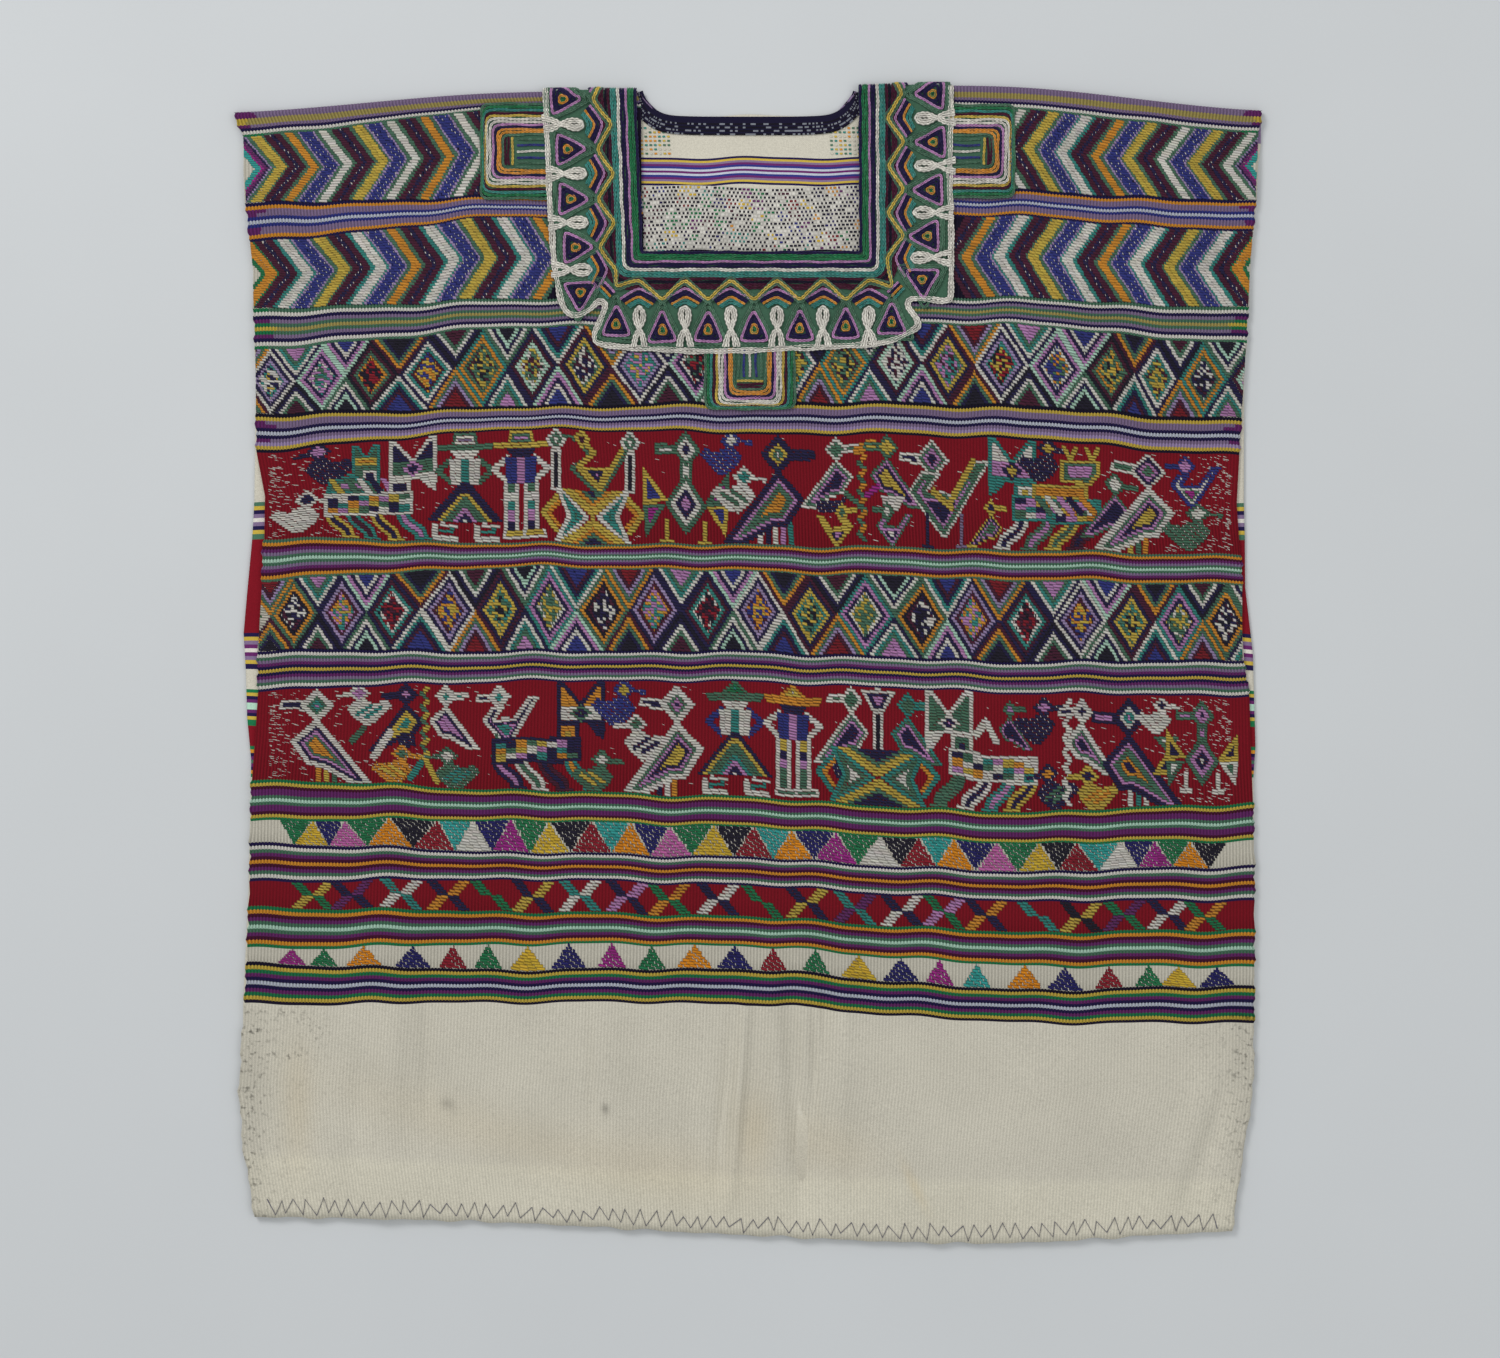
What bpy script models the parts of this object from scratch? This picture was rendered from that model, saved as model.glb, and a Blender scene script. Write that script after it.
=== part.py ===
"""A hand-woven huipil blouse laid flat: one web of cloth folded at the shoulders, front on back.

Metres, +Z up. X runs across the shoulders, +Y points to the shoulder fold and the hem lies
towards -Y. The origin is the bottom centre of the whole blouse, which lies on z = 0.
"""
import math
from collections import namedtuple

import bmesh
import bpy

MM = 0.001

# Driving dimensions, in metres.
WALL = 2.0 * MM            # the woven cloth with its brocade wefts
GAP = 0.3 * MM             # between pieces that touch
RAISE = 0.7 * MM           # brocaded bands stand this much above the striped ones
STEP = 1.4 * MM            # width of the slope at a brocaded band's edge
FOLD_PUFF = 1.4 * MM       # the shoulder fold stays this much fatter than two walls
PUFF_REACH = 7.0 * MM      # how far from the fold the cloth settles down again
ROLL_STEPS = 5             # facets round the shoulder fold
SHOULDER_TO_ORIGIN = 437.3 * MM   # highest point of the shoulders to the origin, along Y
NECK_LEFT, NECK_RIGHT = 0.392, 0.608   # neck hole, as shares of the width
NECK_ROW = 0.44            # the front neck edge, as a share of the lower chevron band
BACK_NECK_DROP = 27.0 * MM
BACK_NECK_HALF = 62.0 * MM     # half the width of the back neck edge's straight part
BACK_NECK_FLARE = 19.0 * MM    # how much wider the back neck gets at the shoulder fold
BACK_ROW_SAG = 20.0 * MM       # how much lower the cloth's rows lie at its sides
SCOOP_ROWS = (0.0, 0.35, 0.7, 1.0)
SIDE_COLUMNS, NECK_COLUMNS = 11, 6
BACK_COLUMNS_SIDE = 7
SHARP_ANGLE = math.radians(40)
PLAIN_ROWS = 5

EDGING_COLUMNS = 16            # the navy edging inside the back neck
EDGING_WIDE, EDGING_NARROW = 13.5 * MM, 3.0 * MM   # in the middle and at its two ends
EDGING_FLARE = 15.0 * MM       # how much its ends spread towards the shoulders
EDGING_THICK = 1.0 * MM

# Raised neck embroidery: a square collar worked in cords on the cloth.
CORNER_STEPS = 4
ROLL_TURNS = (105.0, 70.0, 35.0)   # degrees round the shoulder fold, from its outer end
BAND_ZIGZAG = 3.0 * MM         # how far its outer edge draws back above each loop
CORNER_RADIUS = 2.0 * MM       # of the neck edge
OUTER_CORNER_RADIUS = 30.0 * MM    # of the band's outer edge
ARM_PITCH = 37.6 * MM          # between the teeth down each side of the neck
FIRST_ARM_TOOTH = 15.0 * MM    # its drop below the highest point
ARM_TEETH = 4                  # and one more at the corner
FRONT_PITCH = 34.4 * MM        # between the teeth below the neck
FRONT_TEETH = 7
FRONT_SHIFT = 4.5 * MM         # the row below the neck sits this far right of the middle
TOOTH_RADIUS = 11.5 * MM       # centre of a triangular tooth to its corners
TOOTH_HEIGHT = 1.6 * MM
TOOTH_SLOPE = 1.2 * MM
TOOTH_RINGS = ((1.6 * MM, -0.7 * MM), (1.2 * MM, 0.6 * MM))   # inset and rise of each cord
TOOTH_OFFSET = 55.0 * MM       # neck edge to the centres of the teeth
CORNER_SHIFT = 8.0 * MM        # the side teeth close in this much on the neck at the corners
LOOP_SHIFT = 4.0 * MM          # and the side loops this much
CORNER_LIFT = 5.6 * MM         # the corner teeth sit this much higher than their row's pitch
RIGHT_FIRST_TOOTH, RIGHT_PITCH = 11.0 * MM, 36.2 * MM   # the right arm is a little shorter
RIGHT_RISE = 6.0 * MM          # the row below the neck climbs this much to its right end
LOOP_OFFSET = 53.0 * MM
LOOP_LENGTH, LOOP_WIDTH = 8.5 * MM, 4.0 * MM   # half sizes of the oval white loops
LOOP_SEGMENTS, LOOP_SIDES = 10, 4
LOOP_CORD = 1.5 * MM           # radius of their cord
EDGE_CORD = 2.0 * MM           # radius of the white cord round the whole collar

# Each band of the weave, from the shoulder fold down. raised is 1 for brocade. The other columns
# are the drop in millimetres, below the highest point, of the band's upper edge: at the left
# side, a quarter across, the middle, three quarters across and the right side.
Band = namedtuple("Band", "name raised left left_quarter middle right_quarter right")
BANDS = [Band(*row) for row in (
    ("shoulder_stripes", 0, 24.4, 10.0, 8.0, 5.0, 23.0),
    ("upper_chevrons", 1, 43.5, 23.0, 21.5, 22.0, 40.5),
    ("second_stripes", 0, 92.5, 87.5, 84.5, 83.0, 91.0),
    ("lower_chevrons", 1, 122.5, 104.0, 102.5, 103.0, 115.0),
    ("third_stripes", 0, 172.0, 164.5, 162.5, 163.0, 171.5),
    ("upper_diamonds", 1, 203.0, 187.0, 185.0, 184.0, 199.0),
    ("fourth_stripes", 0, 250.0, 245.0, 242.0, 243.5, 254.5),
    ("upper_figures", 1, 279.5, 263.5, 266.0, 269.0, 282.5),
    ("fifth_stripes", 0, 343.0, 347.0, 348.5, 352.0, 356.0),
    ("lower_diamonds", 1, 375.5, 366.5, 369.5, 375.5, 379.0),
    ("sixth_stripes", 0, 427.0, 428.0, 428.5, 435.5, 434.5),
    ("lower_figures", 1, 458.0, 452.0, 452.5, 460.0, 462.5),
    ("seventh_stripes", 0, 524.5, 532.0, 538.0, 548.5, 542.0),
    ("upper_triangles", 1, 556.0, 556.0, 561.5, 572.5, 571.0),
    ("eighth_stripes", 0, 572.0, 578.5, 583.0, 593.0, 589.0),
    ("interlace", 1, 602.0, 600.5, 605.0, 616.0, 616.0),
    ("ninth_stripes", 0, 620.5, 623.5, 627.5, 638.5, 637.0),
    ("lower_triangles", 1, 652.0, 649.0, 650.5, 664.0, 665.5),
    ("tenth_stripes", 0, 662.5, 667.0, 667.0, 681.5, 679.0),
    ("plain_ground", 0, 694.0, 692.5, 694.0, 707.0, 707.5),
    ("hem_heading", 0, 803.0, 810.5, 818.5, 822.5, 822.5),
    ("hem_edge", 0, 853.0, 857.0, 866.5, 872.8, 864.0),
)]
BAND_NAMES = [band.name for band in BANDS]
NECK_BAND = BAND_NAMES.index("lower_chevrons")   # the front neck edge crosses it
PLAIN_BAND = BAND_NAMES.index("plain_ground")
LAST_BAND = len(BANDS) - 1

# The side edges: drop, then the front's and the back's edges, in millimetres from the middle.
Edge = namedtuple("Edge", "drop front_left front_right back_left back_right")
SIDE_EDGES = [Edge(*row) for row in (
    (24, -386.3, 385.4, -386.3, 385.4),
    (42, -379, 383, -379, 383),
    (91, -377, 381, -377, 381),
    (139, -372, 377, -372, 377),
    (199, -370, 374, -370, 374),
    (276, -369, 369, -369, 369),
    (308, -362, 365, -369, 372),
    (345, -364, 370, -371, 373),
    (379, -365, 371, -373, 373),
    (430, -368, 371, -379, 379),
    (465, -368, 377, -377, 380),
    (499, -370, 377, -376, 381),
    (530, -373, 379, -373, 379),
    (600, -374, 380, -374, 380),
    (680, -377, 380, -377, 380),
    (758, -382, 379, -382, 379),
    (800, -379, 372, -379, 372),
    (864, -368, 363, -368, 363),
)]

# Soft upright creases in the plain ground: place across, width and height in millimetres, and
# the drops between which each one rises and dies away.
Crease = namedtuple("Crease", "across lean half_width height start end")
CREASES = [Crease(*row) for row in (
    (-285, 12, 16, 2.6, 610, 870),
    (-243, -8, 11, 1.6, 660, 850),
    (-119, 10, 17, 2.2, 640, 860),
    (-6, -10, 13, 3.0, 600, 880),
    (61, 14, 16, 2.0, 650, 850),
)]

# The white cord round the collar, left to right: millimetres from the middle, and the drop.
EDGE_CORD_ROUTE = (
    (-152, 8), (-150, 54), (-148, 100), (-144, 146), (-138, 171), (-129, 177), (-119, 173),
    (-112, 167), (-107, 170), (-111, 182), (-115, 193), (-109, 199), (-75, 202), (-29, 204),
    (28, 202), (97, 198), (124, 188), (127, 181), (120, 171), (122, 165), (134, 165),
    (148, 166), (152, 158), (152, 100), (151, 72), (152, 31), (152, 6),
)

# Embroidered rosettes outside the collar: centres and half sizes in millimetres.
Rosette = namedtuple("Rosette", "name across drop half_width half_height")
ROSETTES = [Rosette(*row) for row in (
    ("rosette_left", -178.5, 54.0, 22.0, 36.0),
    ("rosette_right", 179.0, 54.0, 21.0, 35.0),
    ("rosette_front", 1.5, 228.0, 34.0, 19.5),
)]
ROSETTE_RINGS = 4
ROSETTE_SQUARENESS = 0.45   # below 1 turns the round outline into a rounded rectangle
ROSETTE_BASE = 1.0 * MM
RING_STEP = 4.2 * MM
RING_RISE = 0.7 * MM

# Profile of the neck embroidery in millimetres: a ridge for each cord that runs round it.
Ridge = namedtuple("Ridge", "outwards height")
BAND_PROFILE = [Ridge(*row) for row in (
    (0.0, 1.2), (2.2, 2.2), (4.4, 1.3), (6.8, 2.4), (9.2, 1.3), (12.4, 2.3), (14.6, 1.4),
    (18.6, 2.5), (22.0, 1.2), (28.0, 1.7), (33.0, 1.2), (38.0, 1.6),
)]

COLOURS = {
    "cloth": (0.74, 0.70, 0.62),
    "navy": (0.03, 0.03, 0.09),
    "embroidery": (0.20, 0.07, 0.09),
    "white_cord": (0.72, 0.70, 0.63),
    "rosette": (0.45, 0.42, 0.33),
    "tooth": (0.42, 0.20, 0.36),
}

SHOULDER_LEFT = SIDE_EDGES[0].front_left * MM
SHOULDER_RIGHT = SIDE_EDGES[0].front_right * MM
ROLL_OUTER = (2 * WALL + GAP + FOLD_PUFF) / 2
FRONT_UNDER = WALL + GAP                    # the front's plain inner face above the floor
TRIM_UNDER = FRONT_UNDER + WALL + RAISE + GAP   # underside of what is worked on the front


def mix(start, end, share):
    """A value between two others."""
    return start + (end - start) * share


def ease(share):
    """A smooth step from 0 to 1."""
    share = min(1.0, max(0.0, share))
    return share * share * (3 - 2 * share)


def through_stations(values, across):
    """A smooth curve through evenly spaced stations, across the width from 0 to 1."""
    spot = min(max(across, 0.0), 1.0) * (len(values) - 1)
    index = min(int(spot), len(values) - 2)
    share = spot - index
    before = values[max(index - 1, 0)]
    start, end = values[index], values[index + 1]
    after = values[min(index + 2, len(values) - 1)]
    slope_start, slope_end = (end - before) / 2, (after - start) / 2
    square, cube = share * share, share ** 3
    return ((2 * cube - 3 * square + 1) * start + (cube - 2 * square + share) * slope_start
            + (3 * square - 2 * cube) * end + (cube - square) * slope_end)


def band_edge(index, across):
    """Drop of a band's upper edge; the first one starts where the shoulder roll ends."""
    band = BANDS[index]
    stations = (band.left, band.left_quarter, band.middle, band.right_quarter, band.right)
    drop = through_stations(stations, across) * MM
    return drop + ROLL_OUTER if index == 0 else drop


def drop_at(row, across):
    """Drop of a row, which counts the bands and shares of a band from the shoulder."""
    index = min(int(row), LAST_BAND - 1)
    return mix(band_edge(index, across), band_edge(index + 1, across), row - index)


def side_edge(drop, column):
    """Distance from the middle of one side edge, at a drop."""
    if drop <= SIDE_EDGES[0].drop * MM:
        return getattr(SIDE_EDGES[0], column) * MM
    for upper, lower in zip(SIDE_EDGES, SIDE_EDGES[1:]):
        if drop <= lower.drop * MM:
            share = (drop / MM - upper.drop) / (lower.drop - upper.drop)
            return mix(getattr(upper, column), getattr(lower, column), share) * MM
    return getattr(SIDE_EDGES[-1], column) * MM


def across_at(row, across, panel):
    """Distance from the middle of a point, from the row's two side edges."""
    left = side_edge(drop_at(row, 0.0), panel + "_left")
    right = side_edge(drop_at(row, 1.0), panel + "_right")
    return mix(left, right, across)


def along(drop):
    """The world Y of a drop below the highest point."""
    return SHOULDER_TO_ORIGIN - drop


def puff(drop, across):
    """How much the front stays up near the shoulder fold."""
    below_roll = drop - band_edge(0, across)
    return FOLD_PUFF * (1 - ease(below_roll / PUFF_REACH))


def crease(x, drop):
    """Height of the soft upright creases in the lower front."""
    height = 0.0
    for fold in CREASES:
        share = (drop / MM - fold.start) / (fold.end - fold.start)
        if 0 < share < 1:
            offset = (x / MM - fold.across - fold.lean * share) / fold.half_width
            height += fold.height * math.sin(math.pi * share) * math.exp(-offset * offset)
    return height * MM


def share_across(x):
    """A place across the blouse as a share of its width at the shoulders."""
    return (x - SHOULDER_LEFT) / (SHOULDER_RIGHT - SHOULDER_LEFT)


def lay_height(x, drop):
    """Underside of a piece that is worked on the front."""
    return TRIM_UNDER + puff(drop, share_across(x))


def make_material(name, colour):
    """A matt cotton finish."""
    material = bpy.data.materials.new(name)
    material.use_nodes = True
    shader = material.node_tree.nodes["Principled BSDF"]
    shader.inputs["Base Color"].default_value = (*colour, 1.0)
    shader.inputs["Roughness"].default_value = 0.9
    shader.inputs["Metallic"].default_value = 0.0
    return material


def place(data, name, colour, collection):
    """Put a mesh or a curve in the scene as a named object with its own material."""
    data.materials.append(make_material(name + "_cotton", COLOURS[colour]))
    collection.objects.link(bpy.data.objects.new(name, data))


def finish_mesh(solid, name, colour, collection):
    """Shade a finished solid, with its hard edges kept, and place it."""
    mesh = bpy.data.meshes.new(name)
    solid.to_mesh(mesh)
    solid.free()
    mesh.shade_smooth()
    mesh.set_sharp_from_angle(angle=SHARP_ANGLE)
    place(mesh, name, colour, collection)


def wall(name, colour, collection, columns, rows, under, over, keep=None):
    """A closed wall on a grid: under and over give both faces' points for a column and a row."""
    solid = bmesh.new()
    bmesh.ops.create_grid(solid, x_segments=columns, y_segments=rows, size=0.5)
    column_of = solid.verts.layers.int.new("column")
    row_of = solid.verts.layers.int.new("row")
    for point in solid.verts:
        point[column_of] = round((point.co.x + 0.5) * columns)
        point[row_of] = round((0.5 - point.co.y) * rows)
    if keep:
        gone = [face for face in solid.faces
                if not keep(min(point[column_of] for point in face.verts),
                            min(point[row_of] for point in face.verts))]
        bmesh.ops.delete(solid, geom=gone, context="FACES")
    grown = bmesh.ops.extrude_face_region(solid, geom=solid.faces[:], use_keep_orig=True)
    upper = {item for item in grown["geom"] if isinstance(item, bmesh.types.BMVert)}
    for point in solid.verts:
        shape = over if point in upper else under
        point.co = shape(point[column_of], point[row_of])
    bmesh.ops.recalc_face_normals(solid, faces=solid.faces[:])
    finish_mesh(solid, name, colour, collection)


def front_columns():
    """Shares of the width, with the neck hole's sides on grid lines."""
    side = [NECK_LEFT * step / SIDE_COLUMNS for step in range(SIDE_COLUMNS)]
    neck = [mix(NECK_LEFT, NECK_RIGHT, step / NECK_COLUMNS) for step in range(NECK_COLUMNS)]
    other = [mix(NECK_RIGHT, 1.0, step / SIDE_COLUMNS) for step in range(SIDE_COLUMNS + 1)]
    return side + neck + other


def front_rows():
    """Each row's place, its relief and its turn round the shoulder fold in degrees."""
    rows = [(0.0, 0.0, 180.0 * (ROLL_STEPS - step) / ROLL_STEPS) for step in range(ROLL_STEPS)]
    for index in range(LAST_BAND):
        height = band_edge(index + 1, 0.5) - band_edge(index, 0.5)
        rows.append((float(index), 0.0, 0.0))
        if BANDS[index].raised:
            slope = STEP / height
            middle = NECK_ROW if index == NECK_BAND else 0.5
            rows += [(index + share, RAISE, 0.0) for share in (slope, middle, 1 - slope)]
        elif index == 0:
            rows += [(share, 0.0, 0.0) for share in (0.25, 0.6)]
        elif index == PLAIN_BAND:
            rows += [(index + step / PLAIN_ROWS, 0.0, 0.0) for step in range(1, PLAIN_ROWS)]
    rows.append((float(LAST_BAND), 0.0, 0.0))
    return rows


def make_front(collection):
    """The front, from the shoulder fold's underside over the roll and down to the hem."""
    columns, rows = front_columns(), front_rows()
    neck_start, neck_end = SIDE_COLUMNS, SIDE_COLUMNS + NECK_COLUMNS
    neck_row = [row for row, _, _ in rows].index(NECK_BAND + NECK_ROW)

    def inner(column, row):
        place_along, _, turn = rows[row]
        across = columns[column]
        drop = drop_at(place_along, across)
        x = across_at(place_along, across, "front")
        if turn:
            radius = ROLL_OUTER - WALL
            angle = math.radians(turn)
            return (x, along(drop) + radius * math.sin(angle),
                    ROLL_OUTER + radius * math.cos(angle))
        return (x, along(drop), FRONT_UNDER + puff(drop, across) + crease(x, drop))

    def outer(column, row):
        x, y, z = inner(column, row)
        _, relief, turn = rows[row]
        angle = math.radians(turn)
        return (x, y + WALL * math.sin(angle), z + WALL * math.cos(angle) + relief)

    def outside_neck(column, row):
        return not (neck_start <= column < neck_end and row < neck_row)

    wall("front_panel", "cloth", collection, len(columns) - 1, len(rows) - 1,
         inner, outer, outside_neck)


def scoop_point(zone, share, down):
    """A point of the back beside or across its neck, where down runs from the fold to 1."""
    away = (1 - share, 0.0, share)[zone]
    across = (mix(0.0, NECK_LEFT, share), 0.5, mix(NECK_RIGHT, 1.0, share))[zone]
    floor = BACK_NECK_DROP + BACK_ROW_SAG * away ** 2
    drop = mix(band_edge(0, across) + GAP, floor, down)
    half = BACK_NECK_HALF + BACK_NECK_FLARE * (1 - down) ** 0.6
    end_drop = BACK_NECK_DROP + BACK_ROW_SAG
    left = side_edge(mix(band_edge(0, 0.0) + GAP, end_drop, down), "back_left")
    right = side_edge(mix(band_edge(0, 1.0) + GAP, end_drop, down), "back_right")
    start, end = ((left, -half), (-half, half), (half, right))[zone]
    return mix(start, end, share), along(drop)


def back_point(zone, share, row):
    """A point of the back below its neck."""
    left, right = across_at(row, 0.0, "back"), across_at(row, 1.0, "back")
    neck = BACK_NECK_HALF
    start, end = ((left, -neck), (-neck, neck), (neck, right))[zone]
    x = mix(start, end, share)
    return x, along(drop_at(row, (x - left) / (right - left)))


def make_back(collection):
    """The back, flat on the surface, with a shallow scoop at the neck."""
    side = [step / BACK_COLUMNS_SIDE for step in range(BACK_COLUMNS_SIDE + 1)]
    neck = [step / NECK_COLUMNS for step in range(1, NECK_COLUMNS)]
    columns = [(0, share) for share in side] + [(1, share) for share in neck]
    columns += [(2, share) for share in side]
    body_rows = [float(index) for index in range(2, LAST_BAND + 1)]
    scoop_end = len(SCOOP_ROWS) - 1

    def spot(column, row, height):
        if row <= scoop_end:
            return (*scoop_point(*columns[column], SCOOP_ROWS[row]), height)
        return (*back_point(*columns[column], body_rows[row - scoop_end - 1]), height)

    def lower(column, row):
        return spot(column, row, 0.0)

    def upper(column, row):
        return spot(column, row, WALL)

    def outside_scoop(column, row):
        in_neck = BACK_COLUMNS_SIDE <= column < BACK_COLUMNS_SIDE + NECK_COLUMNS
        return not (in_neck and row < scoop_end)

    wall("back_panel", "cloth", collection, len(columns) - 1, scoop_end + len(body_rows),
         lower, upper, outside_scoop)


def neck_path():
    """Stations round the neck: zone, share along it and swing of the outer zigzag."""
    arm_reach = FIRST_ARM_TOOTH + ARM_PITCH * ARM_TEETH
    left = [("left_roll", turn, 0) for turn in ROLL_TURNS]
    left += [("left_arm", 0.0, 0), ("left_arm", PUFF_REACH / arm_reach / 2, 0)]
    for step in range(2 * ARM_TEETH - 1):
        share = (FIRST_ARM_TOOTH + ARM_PITCH / 2 * step) / arm_reach
        left.append(("left_arm", share, step % 2))
    left += [("left_corner", step / CORNER_STEPS, 0) for step in range(CORNER_STEPS + 1)]
    right = [(zone.replace("left", "right"), share, swing) for zone, share, swing in left]
    steps = 2 * FRONT_TEETH - 2
    front = [("front", step / steps, step % 2) for step in range(1, steps)]
    return left + front + right[::-1]


def neck_edge(side, drop):
    """The front's neck edge at a drop."""
    share = NECK_LEFT if side < 0 else NECK_RIGHT
    left = side_edge(drop, "front_left")
    right = side_edge(drop, "front_right")
    return mix(left, right, share)


def neck_spot(zone, share, outwards):
    """A point of the neck embroidery in plan, and its turn round the shoulder fold."""
    side = -1 if zone.startswith("left") else 1
    bottom = drop_at(NECK_BAND + NECK_ROW, 0.5) + outwards
    roundness = (outwards / (BAND_PROFILE[-1].outwards * MM)) ** 2
    radius = mix(CORNER_RADIUS, OUTER_CORNER_RADIUS, roundness)
    arm_x = neck_edge(side, bottom - outwards) + side * outwards
    fold_x = neck_edge(side, band_edge(0, 0.5)) + side * outwards
    fold = band_edge(0, share_across(fold_x))
    if zone.endswith("roll"):
        return fold_x, fold, share
    if zone.endswith("arm"):
        return mix(fold_x, arm_x, share), mix(fold, bottom - radius, share), 0.0
    if zone.endswith("corner"):
        angle = math.radians(90 * share)
        return (arm_x - side * radius * (1 - math.cos(angle)),
                bottom - radius * (1 - math.sin(angle)), 0.0)
    left = neck_edge(-1, bottom - outwards) - outwards + radius
    right = neck_edge(1, bottom - outwards) + outwards - radius
    return mix(left, right, share), bottom, 0.0


def make_neck_embroidery(collection):
    """The corded band round the front neck, over the shoulder fold at both ends."""
    stations = neck_path()
    edge_profile = len(BAND_PROFILE) - 1

    def spot(column, row, height):
        zone, share, swing = stations[column]
        outwards = BAND_PROFILE[row].outwards * MM
        if row == edge_profile:
            outwards -= BAND_ZIGZAG * swing
        x, drop, turn = neck_spot(zone, share, outwards)
        base = lay_height(x, drop)
        if not turn:
            return x, along(drop), base + height
        angle = math.radians(turn)
        radius = base - ROLL_OUTER + height
        return (x, along(drop) + radius * math.sin(angle),
                ROLL_OUTER + radius * math.cos(angle))

    def lower(column, row):
        return spot(column, row, 0.0)

    def upper(column, row):
        return spot(column, row, BAND_PROFILE[row].height * MM)

    wall("neck_embroidery", "embroidery", collection, len(stations) - 1, edge_profile,
         lower, upper)


def make_back_neck_edging(collection):
    """The navy edging inside the back neck, on the back's inner face."""
    def spot(column, row, height):
        cosine = math.cos(math.pi * column / EDGING_COLUMNS)
        lift = abs(cosine) ** 7
        top = mix(BACK_NECK_DROP + GAP, band_edge(0, 0.5) + 2 * EDGING_NARROW, lift)
        x = -cosine * (BACK_NECK_HALF + EDGING_FLARE * abs(cosine) ** 3)
        if row == 0:
            x -= math.copysign(EDGING_NARROW * lift, x)
        width = mix(EDGING_WIDE, EDGING_NARROW, lift)
        return x, along(top + width * row), height

    def lower(column, row):
        return spot(column, row, WALL + GAP)

    def upper(column, row):
        return spot(column, row, WALL + GAP + EDGING_THICK)

    wall("back_neck_edging", "navy", collection, EDGING_COLUMNS, 1, lower, upper)


def make_edge_cord(collection):
    """The thick white cord round the collar, couched on the cloth."""
    curve = bpy.data.curves.new("edge_cord", "CURVE")
    curve.dimensions = "3D"
    curve.bevel_depth = EDGE_CORD
    curve.bevel_resolution = 1
    curve.use_fill_caps = True
    route = [(x * MM, drop * MM) for x, drop in EDGE_CORD_ROUTE]
    steps = (len(route) - 1) * 2
    line = curve.splines.new("POLY")
    line.points.add(steps)
    for step, point in enumerate(line.points):
        x, drop = (through_stations(places, step / steps) for places in zip(*route))
        point.co = (x, along(drop), lay_height(x, drop) + EDGE_CORD, 1.0)
    place(curve, "edge_cord", "white_cord", collection)


def finish_pad(solid, name, colour, collection, x, drop, turn):
    """Turn a pad about Z, lay it on the front and put it in the scene."""
    cosine, sine = math.cos(turn), math.sin(turn)
    for point in solid.verts:
        spot_x = x + point.co.x * cosine - point.co.y * sine
        spot_y = along(drop) + point.co.x * sine + point.co.y * cosine
        spot_z = point.co.z + lay_height(spot_x, SHOULDER_TO_ORIGIN - spot_y)
        point.co = (spot_x, spot_y, spot_z)
    finish_mesh(solid, name, colour, collection)


def rings_on_top(solid, steps):
    """Inset the top face again and again, each time up or down."""
    top = max(solid.faces, key=lambda face: face.calc_center_median().z)
    for width, rise in steps:
        bmesh.ops.inset_region(solid, faces=[top], thickness=width, depth=0.0,
                               use_even_offset=True)
        for point in top.verts:
            point.co.z += rise


def make_tooth(name, collection, x, drop, turn):
    """A three-cornered tooth of nested cords, its apex towards the neck."""
    solid = bmesh.new()
    bmesh.ops.create_cone(solid, cap_ends=True, segments=3, radius1=TOOTH_RADIUS,
                          radius2=TOOTH_RADIUS - TOOTH_SLOPE, depth=TOOTH_HEIGHT)
    bmesh.ops.translate(solid, verts=solid.verts[:], vec=(0, 0, TOOTH_HEIGHT / 2))
    rings_on_top(solid, TOOTH_RINGS)
    finish_pad(solid, name, "tooth", collection, x, drop, turn)


def make_loop(name, collection, x, drop, turn):
    """An oval loop of white cord between two teeth."""
    solid = bmesh.new()
    bmesh.ops.create_grid(solid, x_segments=LOOP_SEGMENTS, y_segments=LOOP_SIDES, size=0.5)
    for point in solid.verts:
        swing = 2 * math.pi * (point.co.x + 0.5)
        tilt = 2 * math.pi * (point.co.y + 0.5)
        out = 1 + LOOP_CORD * math.cos(tilt) / LOOP_WIDTH
        point.co = (LOOP_LENGTH * math.cos(swing) * out, LOOP_WIDTH * math.sin(swing) * out,
                    LOOP_CORD * (1 + math.sin(tilt)))
    bmesh.ops.remove_doubles(solid, verts=solid.verts[:], dist=0.01 * MM)
    bmesh.ops.recalc_face_normals(solid, faces=solid.faces[:])
    finish_pad(solid, name, "white_cord", collection, x, drop, turn)


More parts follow.
